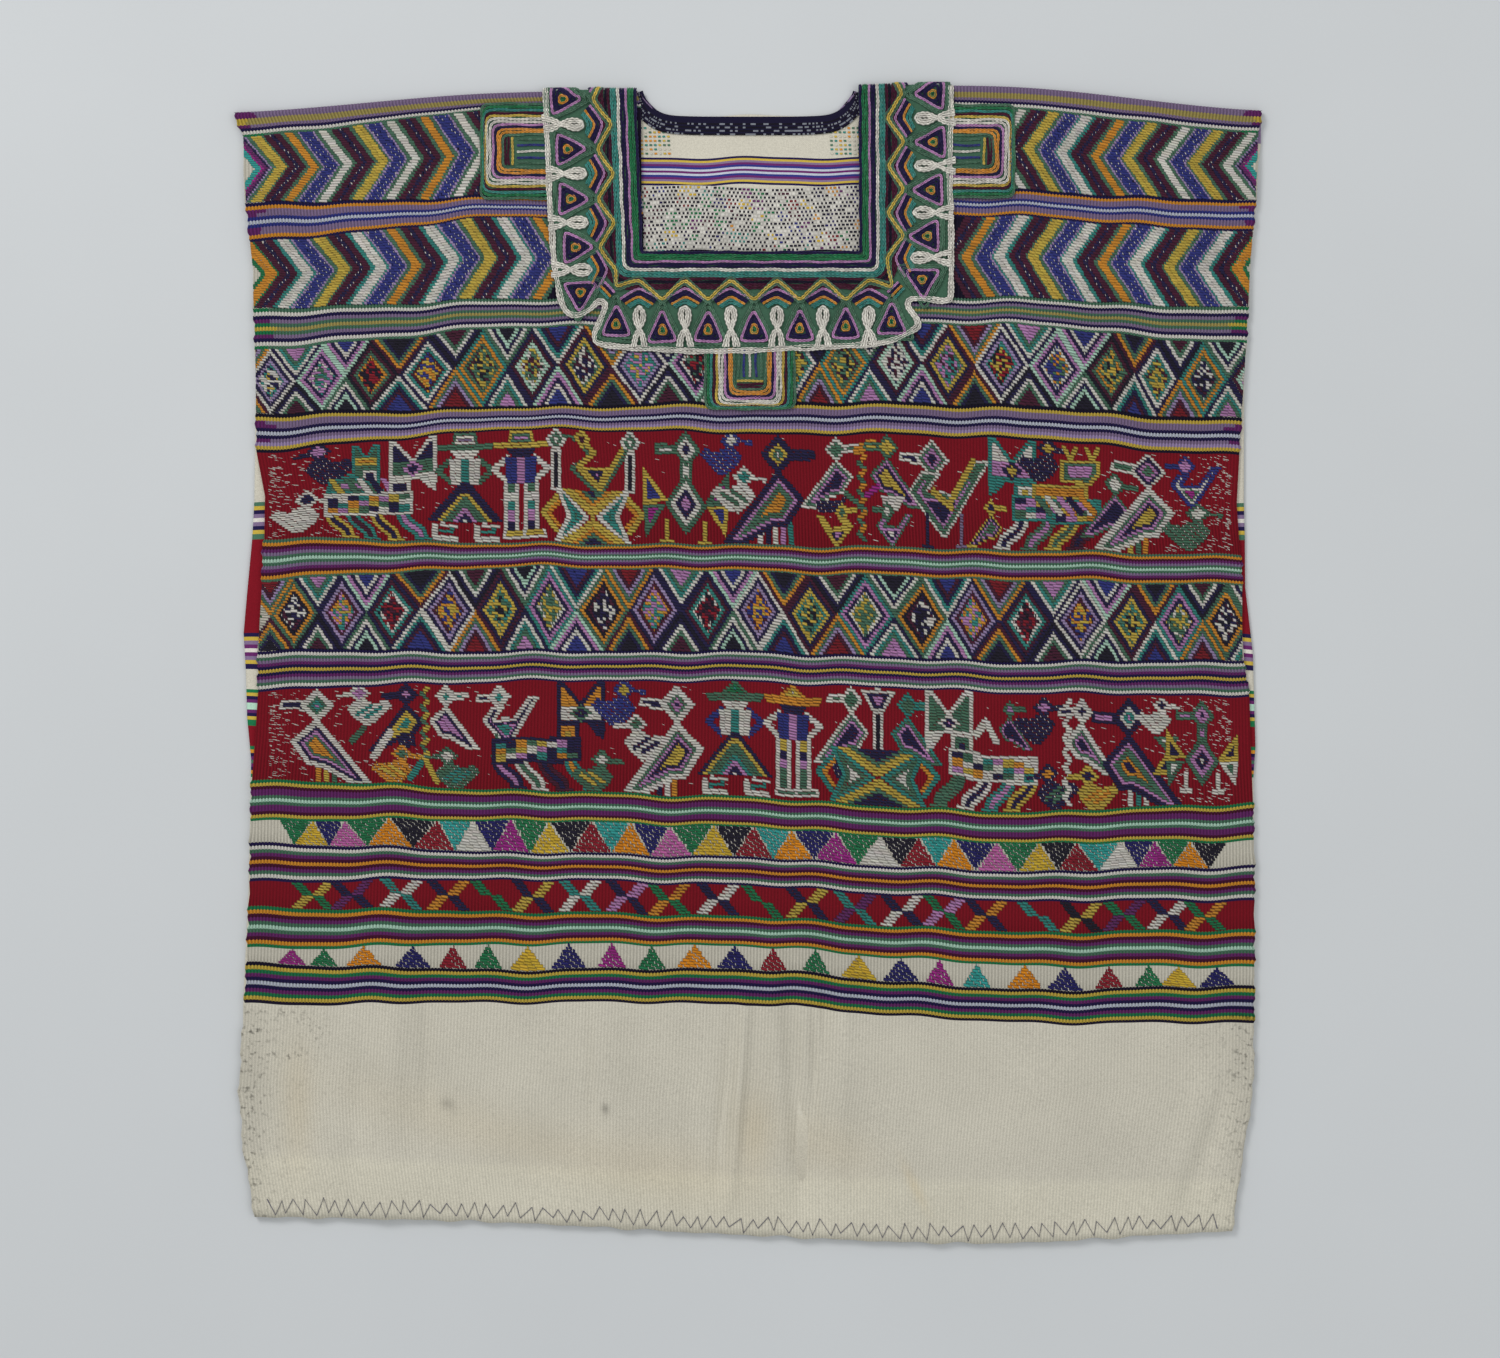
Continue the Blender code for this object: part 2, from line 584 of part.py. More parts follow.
def make_teeth_and_loops(collection):
    """The row of teeth and loops down both sides and below the neck."""
    bottom = drop_at(NECK_BAND + NECK_ROW, 0.5)
    arms = (("left", -1, FIRST_ARM_TOOTH, ARM_PITCH), ("right", 1, RIGHT_FIRST_TOOTH, RIGHT_PITCH))
    for word, side, first, pitch in arms:
        turn = 0.0 if side < 0 else math.pi
        for number in range(ARM_TEETH + 1):
            drop = first + pitch * number
            nearer = CORNER_SHIFT * (number / ARM_TEETH) ** 2
            x = neck_edge(side, drop) + side * (TOOTH_OFFSET - nearer)
            drop -= CORNER_LIFT * (number / ARM_TEETH) ** 4
            make_tooth(f"tooth_{word}_{number + 1}", collection, x, drop, turn)
        for number in range(ARM_TEETH):
            drop = first + pitch * (number + 0.5)
            nearer = LOOP_SHIFT * ((number + 0.5) / ARM_TEETH) ** 2
            x = neck_edge(side, drop) + side * (LOOP_OFFSET - nearer)
            drop -= CORNER_LIFT * ((number + 0.5) / ARM_TEETH) ** 3
            make_loop(f"loop_{word}_{number + 1}", collection, x, drop, 0.0)
    for number in range(FRONT_TEETH):
        x = FRONT_PITCH * (number - (FRONT_TEETH - 1) / 2) + FRONT_SHIFT
        drop = bottom + TOOTH_OFFSET - RIGHT_RISE * (number / (FRONT_TEETH - 1)) ** 4
        make_tooth(f"tooth_front_{number + 1}", collection, x, drop, math.pi / 2)
    for number in range(FRONT_TEETH - 1):
        x = FRONT_PITCH * (number + 1 - FRONT_TEETH / 2) + FRONT_SHIFT
        make_loop(f"loop_front_{number + 1}", collection, x, bottom + LOOP_OFFSET, math.pi / 2)


def make_rosettes(collection):
    """The three cross-shaped rosettes outside the collar."""
    for rosette in ROSETTES:
        solid = bmesh.new()
        bmesh.ops.create_circle(solid, cap_ends=True, segments=16, radius=1.0)
        for point in solid.verts:
            square_x = math.copysign(abs(point.co.x) ** ROSETTE_SQUARENESS, point.co.x)
            square_y = math.copysign(abs(point.co.y) ** ROSETTE_SQUARENESS, point.co.y)
            point.co.x = square_x * rosette.half_width * MM
            point.co.y = square_y * rosette.half_height * MM
        grown = bmesh.ops.extrude_face_region(solid, geom=solid.faces[:], use_keep_orig=True)
        for item in grown["geom"]:
            if isinstance(item, bmesh.types.BMVert):
                item.co.z += ROSETTE_BASE
        bmesh.ops.recalc_face_normals(solid, faces=solid.faces[:])
        top = max(solid.faces, key=lambda face: face.calc_center_median().z)
        width, height = rosette.half_width * MM, rosette.half_height * MM
        for ring in range(ROSETTE_RINGS):
            top = bmesh.ops.extrude_discrete_faces(solid, faces=[top])["faces"][0]
            for point in top.verts:
                point.co.x *= (width - RING_STEP) / width
                point.co.y *= (height - RING_STEP) / height
                point.co.z += -RING_RISE if ring % 2 else RING_RISE
            width, height = width - RING_STEP, height - RING_STEP
        finish_pad(solid, rosette.name, "rosette", collection,
                   rosette.across * MM, rosette.drop * MM, 0.0)


def main():
    """Clear the scene and make every piece of the blouse."""
    for old in list(bpy.data.objects):
        bpy.data.objects.remove(old, do_unlink=True)
    collection = bpy.data.collections.new("huipil_blouse")
    bpy.context.scene.collection.children.link(collection)
    make_back(collection)
    make_front(collection)
    make_neck_embroidery(collection)
    make_back_neck_edging(collection)
    make_edge_cord(collection)
    make_teeth_and_loops(collection)
    make_rosettes(collection)


main()
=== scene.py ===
"""A woven and brocaded huipil blouse, laid flat: cloth, brocade, neck embroidery and stage."""

import math
from collections import namedtuple

import bpy
import numpy as np
from bpy.props import FloatProperty, FloatVectorProperty, IntProperty, PointerProperty
from bpy.types import Operator, Panel, PropertyGroup
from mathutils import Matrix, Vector


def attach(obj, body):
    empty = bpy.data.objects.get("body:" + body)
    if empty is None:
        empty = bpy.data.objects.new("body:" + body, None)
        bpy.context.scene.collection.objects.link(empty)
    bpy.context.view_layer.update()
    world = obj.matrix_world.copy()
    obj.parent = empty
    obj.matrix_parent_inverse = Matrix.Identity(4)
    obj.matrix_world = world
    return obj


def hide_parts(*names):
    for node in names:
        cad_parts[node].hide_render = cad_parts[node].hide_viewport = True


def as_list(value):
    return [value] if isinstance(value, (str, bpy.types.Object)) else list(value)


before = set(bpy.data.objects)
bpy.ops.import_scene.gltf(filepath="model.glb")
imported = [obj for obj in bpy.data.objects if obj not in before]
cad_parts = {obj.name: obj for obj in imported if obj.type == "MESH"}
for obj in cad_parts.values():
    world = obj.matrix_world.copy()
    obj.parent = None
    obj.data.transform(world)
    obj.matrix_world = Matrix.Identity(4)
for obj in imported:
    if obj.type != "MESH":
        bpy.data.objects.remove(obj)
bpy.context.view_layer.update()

bl_info = {
    "name": "Huipil Blouse",
    "version": (1, 0, 0),
    "blender": (4, 5, 0),
    "location": "View3D > Sidebar > Huipil",
    "description": "Woven cloth, brocade and neck embroidery of a huipil blouse",
    "category": "Object",
}

MM = 0.001

# Sizes shared with the solids, in metres.
WALL = 2.0 * MM
GAP = 0.3 * MM
FOLD_PUFF = 1.4 * MM
PUFF_REACH = 7.0 * MM
EVEN_DROP, EVEN_REACH = 12.0 * MM, 20.0 * MM
SHOULDER_TO_ORIGIN = 437.3 * MM
NECK_LEFT, NECK_RIGHT = 0.392, 0.608
NECK_ROW = 0.44
BACK_NECK_DROP = 27.0 * MM
BACK_NECK_HALF = 62.0 * MM
BACK_NECK_FLARE = 19.0 * MM
BACK_ROW_SAG = 20.0 * MM
ARM_PITCH = 37.6 * MM
FIRST_ARM_TOOTH = 15.0 * MM
ARM_TEETH = 4
FRONT_PITCH = 34.4 * MM
FRONT_TEETH = 7
FRONT_SHIFT = 4.5 * MM
TOOTH_OFFSET = 55.0 * MM
CORNER_SHIFT = 8.0 * MM
CORNER_LIFT = 5.6 * MM
RIGHT_FIRST_TOOTH = 11.0 * MM
RIGHT_PITCH = 36.2 * MM
RIGHT_RISE = 6.0 * MM
LOOP_SHIFT = 4.0 * MM
ROLL_OUTER = (2 * WALL + GAP + FOLD_PUFF) / 2
FRONT_UNDER = WALL + GAP
FRONT_TOP = FRONT_UNDER + WALL

# What the two panels are cut to.
PANEL_WIDTH = 770.0 * MM

# Each band, shoulder to hem: its drops in millimetres at five stations, how it is woven, and
# its yarns. A striped band names a yarn for each of its stripes.
Band = namedtuple("Band", "name left left_quarter middle right_quarter right weave yarns")
BANDS = [Band(*row) for row in (
    ("shoulder_stripes", 24.4, 10, 8, 5, 23, "stripes", "lsslnwg"),
    ("upper_chevrons", 43.5, 23, 21.5, 22, 40.5, "brocade", "u"),
    ("second_stripes", 92.5, 87.5, 84.5, 83, 91, "stripes", "nollbabllon"),
    ("lower_chevrons", 122.5, 104, 102.5, 103, 115, "brocade", "u"),
    ("third_stripes", 172, 164.5, 162.5, 163, 171.5, "stripes", "gwnlgsglnwg"),
    ("upper_diamonds", 203, 187, 185, 184, 199, "brocade", "u"),
    ("fourth_stripes", 250, 245, 242, 243.5, 254.5, "stripes", "kyllnanlqyk"),
    ("upper_figures", 279.5, 263.5, 266, 269, 282.5, "brocade", "r"),
    ("fifth_stripes", 343, 347, 348.5, 352, 356, "stripes", "gomvlgiglvmog"),
    ("lower_diamonds", 375.5, 366.5, 369.5, 375.5, 379, "brocade", "u"),
    ("sixth_stripes", 427, 428, 428.5, 435.5, 434.5, "stripes", "nwglvnynvlgwn"),
    ("lower_figures", 458, 452, 452.5, 460, 462.5, "brocade", "r"),
    ("seventh_stripes", 524.5, 532, 538, 548.5, 542, "stripes", "eymvvgigvvmye"),
    ("upper_triangles", 556, 556, 561.5, 572.5, 571, "brocade", "u"),
    ("eighth_stripes", 572, 578.5, 583, 593, 589, "stripes", "nwgvmomvgwn"),
    ("interlace", 602, 600.5, 605, 616, 616, "brocade", "r"),
    ("ninth_stripes", 620.5, 623.5, 627.5, 638.5, 637, "stripes", "eomvgigvmoe"),
    ("lower_triangles", 652, 649, 650.5, 664, 665.5, "brocade", "u"),
    ("tenth_stripes", 662.5, 667, 667, 681.5, 679, "stripes", "kyevnanveyk"),
    ("plain_ground", 694, 692.5, 694, 707, 707.5, "plain", "u"),
    ("hem_heading", 803, 810.5, 818.5, 822.5, 822.5, "plain", "u"),
    ("hem_edge", 853, 857, 866.5, 872.8, 864, "end", "u"),
)]
BAND_NAMES = [band.name for band in BANDS]
NECK_BAND = BAND_NAMES.index("lower_chevrons")
BROCADE_BANDS = [index for index, band in enumerate(BANDS) if band.weave == "brocade"]
LAST_BAND = len(BANDS) - 1

# The side edges in millimetres from the middle; the back's where it shows outside the front.
Edge = namedtuple("Edge", "drop front_left front_right back_left back_right")
SIDE_EDGES = [Edge(*row) for row in (
    (24, -386.3, 385.4, -386.3, 385.4), (42, -379, 383, -379, 383), (91, -377, 381, -377, 381),
    (139, -372, 377, -372, 377), (199, -370, 374, -370, 374), (276, -369, 369, -369, 369),
    (308, -362, 365, -369, 372), (345, -364, 370, -371, 373), (379, -365, 371, -373, 373),
    (430, -368, 371, -379, 379), (465, -368, 377, -377, 380), (499, -370, 377, -376, 381),
    (530, -373, 379, -373, 379), (600, -374, 380, -374, 380), (680, -377, 380, -377, 380),
    (758, -382, 379, -382, 379), (800, -379, 372, -379, 372), (864, -368, 363, -368, 363),
)]

# Upright creases of the lower front in millimetres, ridges and troughs.
Crease = namedtuple("Crease", "across lean half_width height start end")
CREASES = [Crease(*row) for row in (
    (-261, -12, 14, 2.4, 610, 870), (-284, -14, 11, -1.2, 690, 830), (-242, 2, 5, -1.0, 670, 810),
    (-119, 2, 3.5, -0.8, 680, 830), (-110, 10, 15, 1.4, 640, 860), (-44, 4, 9, -1.0, 690, 850),
    (0, -14, 5, 2.6, 670, 850), (-10, -16, 6, -1.3, 690, 855), (14, 14, 8, 1.8, 600, 830),
    (29, 14, 9, -1.3, 680, 860), (40, 8, 6, 1.2, 620, 840), (52, 4, 3, 1.3, 670, 790),
    (62, -24, 7, -1.7, 650, 850),
    (74, -6, 9, 1.5, 600, 850), (368, -42, 9, -1.3, 740, 850), (350, -40, 12, 1.4, 730, 860),
)]

# The white cord round the collar: millimetres from the middle, and drop.
EDGE_CORD_ROUTE = (
    (-152, 8), (-150, 54), (-148, 100), (-144, 146), (-138, 171), (-129, 177), (-119, 173),
    (-112, 167), (-107, 170), (-111, 182), (-115, 193), (-109, 199), (-75, 202), (-29, 204),
    (28, 202), (97, 198), (124, 188), (127, 181), (120, 171), (122, 165), (134, 165),
    (148, 166), (152, 158), (152, 100), (151, 72), (152, 31), (152, 6),
)

Rosette = namedtuple("Rosette", "name across drop half_width half_height turn")
ROSETTES = [Rosette(*row) for row in (
    ("rosette_left", -178.5, 54.0, 22.0, 36.0, 0),
    ("rosette_right", 179.0, 54.0, 21.0, 35.0, 180),
    ("rosette_front", 1.5, 228.0, 34.0, 19.5, 90),
)]

# Mercerised and natural cotton yarns: the key used in the charts, a name and an sRGB colour.
Yarn = namedtuple("Yarn", "key name colour")
YARNS = [Yarn(*row) for row in (
    ("u", "natural_ground", "cfc9b9"), ("w", "white", "ddd8ce"), ("i", "mint_white", "b5d8c2"),
    ("a", "pale_blue", "c0c4cf"), ("k", "blue_black", "1a1428"), ("n", "navy", "221b46"),
    ("b", "blue", "33387f"), ("t", "teal", "37887f"), ("g", "faded_green", "4c735c"),
    ("e", "green", "23764a"), ("y", "mustard", "caae4c"), ("s", "straw", "a8985a"),
    ("o", "orange", "d79138"), ("m", "maroon", "4a1730"), ("r", "red_ground", "7f1a25"),
    ("c", "cherry", "8f1d2c"), ("p", "pink", "bd86b8"), ("l", "faded_lavender", "84708f"),
    ("v", "purple", "682c66"), ("f", "magenta", "a02d86"), ("q", "lilac", "a48fb6"),
    ("d", "deep_blue", "231f63"), ("h", "hot_pink", "c76aa8"), ("z", "bright_yellow", "dcb63f"),
    ("x", "bright_orange", "ea932a"), ("j", "bright_teal", "3aa39c"),
)]
YARN_KEYS = "".join(yarn.key for yarn in YARNS)
BARE = -1
GROUND, WHITE, BLACK, PALE = (YARN_KEYS.index(key) for key in "uwka")
CHART_SQUARE = 0.75 * MM    # one square of the weaving charts, across and down


def linear(code):
    """A linear colour from an sRGB hex value."""
    parts = [int(code[spot:spot + 2], 16) / 255 for spot in (0, 2, 4)]
    return tuple(part / 12.92 if part <= 0.04045 else ((part + 0.055) / 1.055) ** 2.4
                 for part in parts)


def mix(start, end, share):
    """A value between two others."""
    return start + (end - start) * share


def ease(share):
    """A smooth step from 0 to 1."""
    share = np.clip(share, 0.0, 1.0)
    return share * share * (3 - 2 * share)


def through_stations(values, across):
    """A smooth curve through evenly spaced stations, across the width from 0 to 1."""
    values = np.asarray(values, float)
    spot = np.clip(across, 0.0, 1.0) * (len(values) - 1)
    index = np.minimum(spot.astype(int), len(values) - 2)
    share = spot - index
    before, start = values[np.maximum(index - 1, 0)], values[index]
    end, after = values[index + 1], values[np.minimum(index + 2, len(values) - 1)]
    slope_start, slope_end = (end - before) / 2, (after - start) / 2
    square, cube = share ** 2, share ** 3
    return ((2 * cube - 3 * square + 1) * start + (cube - 2 * square + share) * slope_start
            + (3 * square - 2 * cube) * end + (cube - square) * slope_end)


def band_edge(index, across):
    """Drop of a band's upper edge at a share of the width."""
    band = BANDS[index]
    stations = (band.left, band.left_quarter, band.middle, band.right_quarter, band.right)
    drop = through_stations(stations, np.asarray(across, float)) * MM
    return drop + ROLL_OUTER if index == 0 else drop


def drop_at(index, share, across):
    """Drop of a row inside a band."""
    return mix(band_edge(index, across), band_edge(index + 1, across), share)


def side_edge(drop, column):
    """Distance from the middle of one side edge, at a drop."""
    drops = [edge.drop * MM for edge in SIDE_EDGES]
    return np.interp(drop, drops, [getattr(edge, column) * MM for edge in SIDE_EDGES])


def row_sides(index, share):
    """Both ends of a row of the front."""
    return (side_edge(drop_at(index, share, 0.0), "front_left"),
            side_edge(drop_at(index, share, 1.0), "front_right"))


def along(drop):
    """The world Y of a drop below the highest point."""
    return SHOULDER_TO_ORIGIN - drop


def share_across(x):
    """A place across the blouse as a share of its width at the shoulders."""
    left, right = SIDE_EDGES[0].front_left * MM, SIDE_EDGES[0].front_right * MM
    return (np.asarray(x, float) - left) / (right - left)


def puff(drop, across):
    """How much the front stays up near the shoulder fold."""
    return FOLD_PUFF * (1 - ease((drop - band_edge(0, across)) / PUFF_REACH))


# A crease swells and dies away along its length; the turned-up hem lies a little higher.
CREASE_RISE, CREASE_POWER = 2.0, 0.7
HEADING_RISE, HEADING_SLOPE = 0.45, 3


def crease(x, drop):
    """Height of the upright creases in the lower front, and of the cloth turned up at its hem."""
    x, drop = x / MM, drop / MM
    height = np.zeros(np.broadcast(x, drop).shape)
    for fold in CREASES:
        share = np.clip((drop - fold.start) / (fold.end - fold.start), 0, 1)
        offset = (x - fold.across - fold.lean * share) / fold.half_width
        swell = np.sin(math.pi * share) ** CREASE_POWER
        height += CREASE_RISE * fold.height * swell * np.exp(-offset * offset)
    return (height + HEADING_RISE * in_heading(x, drop)) * MM


def in_heading(x, drop):
    """From 0 above the hem's turned-up cloth to 1 on it, at places in millimetres."""
    start = band_edge(BAND_NAMES.index("hem_heading"), share_across(x * MM)) / MM
    return ease((drop - start) / HEADING_SLOPE)


# Waves of the cloth in millimetres: size, length across, start, and shift down the cloth.
Wave = namedtuple("Wave", "size across start down")
ROW_SWAY = (Wave(0.8, 13.1, 0.0, 90), Wave(0.56, 21.7, 2.1, -140), Wave(0.4, 7.3, 0.6, 60))
UNEVENNESS = (Wave(0.16, 15, 0.0, 47), Wave(0.16, 27, 1.3, -31))
SWAY_START, SWAY_END, SWAY_FADE = 70, 830, 150


def waves(table, x, drop):
    """The sum of some waves, in metres."""
    x, drop = x / MM, drop / MM
    return MM * sum(wave.size * np.sin(x / wave.across + wave.start + drop / wave.down)
                    for wave in table)


def ripple(x, drop):
    """How far a row sways down or up where the cloth was pulled in the weaving."""
    fading = ease(drop / MM / SWAY_START) * ease((SWAY_END - drop / MM) / SWAY_FADE)
    return waves(ROW_SWAY, x, drop) * fading


def front_spot(index, share, x):
    """World Y and Z of the front's face on a row of a band, at places across."""
    x = np.asarray(x, float)
    left, right = row_sides(index, share)
    across = (x - left) / (right - left)
    drop = drop_at(index, share, across)
    return along(drop + ripple(x, drop)), surface_height(x, drop)


def surface_height(x, drop):
    """Height of the front's face below the shoulder fold; near the fold it lies even."""
    return (FRONT_TOP + puff(drop, share_across(x)) + crease(x, drop)
            + waves(UNEVENNESS, x, drop) * ease((drop - EVEN_DROP) / EVEN_REACH))


def neck_edge(side, drop):
    """The front's neck edge at a drop."""
    share = NECK_LEFT if side < 0 else NECK_RIGHT
    return mix(side_edge(drop, "front_left"), side_edge(drop, "front_right"), share)


# ---- settings

def length_setting(name, description, default, lowest, highest):
    """A size that a user can change, given in millimetres."""
    return FloatProperty(name=name, description=description, default=default * MM,
                         min=lowest * MM, max=highest * MM, unit="LENGTH", subtype="DISTANCE")


class HuipilSizes(PropertyGroup):
    """Sizes of the weave and of the stitches."""
    rib_pitch: length_setting("Rib pitch", "Between two ribs of the striped cloth", 2.5, 1, 8)
    rib_depth: length_setting("Rib depth", "Height of the ribs of the striped cloth", 0.3, 0, 1)
    float_pitch: length_setting("Brocade row pitch", "Between two rows of brocade floats",
                                2.15, 1, 6)
    float_height: length_setting("Float height", "How far a brocade float stands off the cloth",
                                 0.75, 0, 2)
    longest_float: length_setting(
        "Longest float", "A longer run of one yarn is tied down in between", 7.0, 2, 20)
    chain_pitch: length_setting("Chain link", "Length of one link of chain stitch", 3.2, 1, 8)
    chain_width: length_setting("Chain width", "Width of a row of chain stitch", 2.5, 1, 6)
    seed: IntProperty(name="Seed", description="Varies the single stitches", default=7, min=0)


def yarn_property(yarn):
    """A colour setting for one yarn."""
    title = yarn.name.replace("_", " ")
    return FloatVectorProperty(name=title.capitalize(), description=f"Dye of the {title} yarn",
                               subtype="COLOR", size=3, min=0, max=1,
                               default=linear(yarn.colour))


class HuipilYarns(PropertyGroup):
    """The colours of the yarns."""
    __annotations__ = {yarn.name: yarn_property(yarn) for yarn in YARNS}


def sizes():
    """The scene's sizes."""
    return bpy.context.scene.huipil_sizes


def dyes():
    """Linear colours of the yarns, in the order of their keys."""
    group = bpy.context.scene.huipil_yarns
    return np.array([tuple(getattr(group, yarn.name)) for yarn in YARNS])


def yarn_numbers(keys):
    """Where the yarns of some keys stand in the list of yarns."""
    return np.array([YARN_KEYS.index(key) for key in keys])


def yarn_colours(keys):
    """Linear colours of the yarns of some keys."""
    return dyes()[yarn_numbers(keys)]


def chance():
    """A random source that gives the same stitches each time."""
    return np.random.default_rng(sizes().seed)


# ---- materials

def add_node(tree, kind, settings=None, links=None):
    """Add a shader node with its settings, socket values and links."""
    node = tree.nodes.new("ShaderNode" + kind)
    for key, value in (settings or {}).items():
        if isinstance(key, str) and hasattr(node, key):
            setattr(node, key, value)
        else:
            node.inputs[key].default_value = value
    for key, source in (links or {}).items():
        tree.links.new(source, node.inputs[key])
    return node


def new_material(name, roughness, sheen, specular):
    """An empty cotton finish: its tree, its shader and its place in the cloth in metres."""
    material = bpy.data.materials.new(name)
    material.use_nodes = True
    tree = material.node_tree
    shader = tree.nodes["Principled BSDF"]
    shader.inputs["Roughness"].default_value = roughness
    shader.inputs["Sheen Weight"].default_value = sheen
    shader.inputs["Sheen Roughness"].default_value = 0.5
    shader.inputs["Specular IOR Level"].default_value = specular
    shader.inputs["IOR"].default_value = 1.53      # cellulose
    place = add_node(tree, "TexCoord").outputs["Object"]
    return material, tree, shader, place


# The cottons: their finish, how unevenly they have faded, and the pitch and depth of the twist,
# drawn twice as coarse as a real ply's, which is too fine to show.
Cotton = namedtuple("Cotton", "roughness sheen specular fade twist_pitch twist_depth")
COTTONS = {
    # Singles woven on a backstrap loom: dull and dry, a faint haze of fibres, dye gone uneven.
    "handwoven_cotton": Cotton(0.9, 0.03, 0.10, 0.05, 0.8 * MM, 0.12 * MM),
    # Mercerised cotton in long floats: a smoother yarn, with a soft lustre along each float.
    "mercerised_cotton_floats": Cotton(0.75, 0.03, 0.20, 0.08, 0.7 * MM, 0.10 * MM),
    # Soft cotton thread in chain stitch: matt and full, its plies plainly twisted.
    "chain_stitched_cotton": Cotton(0.85, 0.04, 0.15, 0.08, 0.9 * MM, 0.12 * MM),
    # Plain-woven cotton tape dyed nearly black: it drinks the light and greys on its crests.
    "navy_cotton_tape": Cotton(0.85, 0.1, 0.15, 0.10, 0.8 * MM, 0.12 * MM),
}


WAVE_LENGTH = 0.314         # of a wave texture at scale 1, in metres
# Patches of lighter and darker yarn: their size (real fibres are finer), the noise's detail
# and the span of it that counts, and what it makes of the colour.
Patches = namedtuple("Patches", "size detail low high dark light")
FIBRES = Patches(1.1 * MM, 2.0, 0.25, 0.75, 0.86, 1.12)
DIRT = Patches(3.0 * MM, 4.0, 0.54, 0.70, 1.0, 0.35)


def faded_patches(fade):
    """Patches where the dye has faded unevenly."""
    return Patches(55.0 * MM, 3.0, 0.3, 0.7, 1 - fade, 1 + fade * 0.6)


def yarn_dyed(name):
    """Cotton whose colour is each stitch's own dye with any painted shade, faded in patches, with
    twisted plies.
    """
    if name in bpy.data.materials:
        return bpy.data.materials[name]
    cotton = COTTONS[name]
    material, tree, shader, place = new_material(name, *cotton[:3])
    dye = add_node(tree, "Attribute", {"attribute_name": "dye"})
    shades = []
    for patches in (faded_patches(cotton.fade), FIBRES, DIRT):
        noise = add_node(tree, "TexNoise", {"Scale": 1 / patches.size, "Detail": patches.detail},
                         {"Vector": place})
        shade = add_node(tree, "MapRange", dict(enumerate(patches[2:], start=1)),
                         {"Value": noise.outputs["Fac"]})
        shades.append(shade.outputs[0])
    faded, grained, dirty = shades
    soiled = add_node(tree, "MapRange", {}, {"Value": dye.outputs["Alpha"], 3: dirty})
    dyed = add_node(tree, "Math", {"operation": "MULTIPLY"}, {0: faded, 1: grained})
    value = add_node(tree, "Math", {"operation": "MULTIPLY"},
                     {0: dyed.outputs[0], 1: soiled.outputs[0]})
    colour = add_node(tree, "HueSaturation", {"Saturation": 1.02},
                      {"Color": dye.outputs["Color"], "Value": value.outputs[0]})
    tree.links.new(colour.outputs[0], shader.inputs["Base Color"])
    twist = add_node(tree, "TexWave", {"Scale": WAVE_LENGTH / cotton.twist_pitch,
                                       "Distortion": 1.5, "bands_direction": "DIAGONAL",
                                       "Detail": 1.0}, {"Vector": place})
    bump = add_node(tree, "Bump", {"Strength": 0.6, "Distance": cotton.twist_depth},
                    {"Height": twist.outputs["Fac"]})
    tree.links.new(bump.outputs[0], shader.inputs["Normal"])
    return material


def mottled(name, finish, noise, codes):
    """A cotton-like finish mottled in two colours: its material, tree, shader and place."""
    material, tree, shader, place = new_material(name, *finish)
    patches = add_node(tree, "TexNoise", noise, {"Vector": place})
    colour = add_node(tree, "MixRGB", {1: (*linear(codes[0]), 1), 2: (*linear(codes[1]), 1)},
                      {0: patches.outputs["Fac"]})
    tree.links.new(colour.outputs[0], shader.inputs["Base Color"])
    return material, tree, shader, place


# ---- pieces

# What is sewn to or woven into each panel, filled in as the pieces are made.
WORKED = {"front": [], "back": []}


def add_object(name, data):
    """Put an object of some data into the scene."""
    thing = bpy.data.objects.new(name, data)
    bpy.context.scene.collection.objects.link(thing)
    return thing


def clean(dye):
    """Colours with a fourth value of 1, which says that the cloth is clean."""
    return np.column_stack([dye, np.ones(len(dye))])


def make_piece(name, points, faces, dye, finish, replaced=(), panel="front"):
    """A named piece: dye is a linear colour, with any painted shade, for each point, each face or
    each face's corner.

    A fourth value says how clean the cloth is there, and is 1 where it isn't given. The panel
    is the one that the piece is worked on, and None for a panel itself.
    """
    points, faces = np.asarray(points, float), np.asarray(faces, int)
    mesh = bpy.data.meshes.new(name)
    mesh.from_pydata(points.tolist(), [], faces.tolist())
    corners = faces.ravel()
    if len(dye) == len(points):
        dye = dye[corners]
    elif len(dye) == len(faces):
        dye = np.repeat(dye, faces.shape[1], axis=0)
    layer = mesh.color_attributes.new("dye", "FLOAT_COLOR", "CORNER")
    if dye.shape[1] == 3:
        dye = clean(dye)
    layer.data.foreach_set("color", dye.ravel())
    low = points[:, :2].min(axis=0)
    span = (points[:, :2].max(axis=0) - low).max()
    flat = mesh.uv_layers.new(name="OFBake")
    flat.uv.foreach_set("vector", ((points[corners, :2] - low) / span).ravel())
    mesh.shade_smooth()
    mesh.materials.append(finish)
    piece = add_object(name, mesh)
    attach(piece, "root")
    if replaced:
        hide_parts(*replaced)
    if panel:
        WORKED[panel].append(piece)
    return piece


def grid_faces(rows, columns, keep=None):
    """The four-cornered faces of a grid of points, facing up where rows run down the cloth."""
    row, column = np.meshgrid(np.arange(rows - 1), np.arange(columns - 1), indexing="ij")
    row, column = row.ravel(), column.ravel()
    if keep is not None:
        kept = keep(row, column)
        row, column = row[kept], column[kept]
    corner = row * columns + column
    return np.column_stack([corner, corner + columns, corner + columns + 1, corner + 1]), row, column


# ---- woven cloth

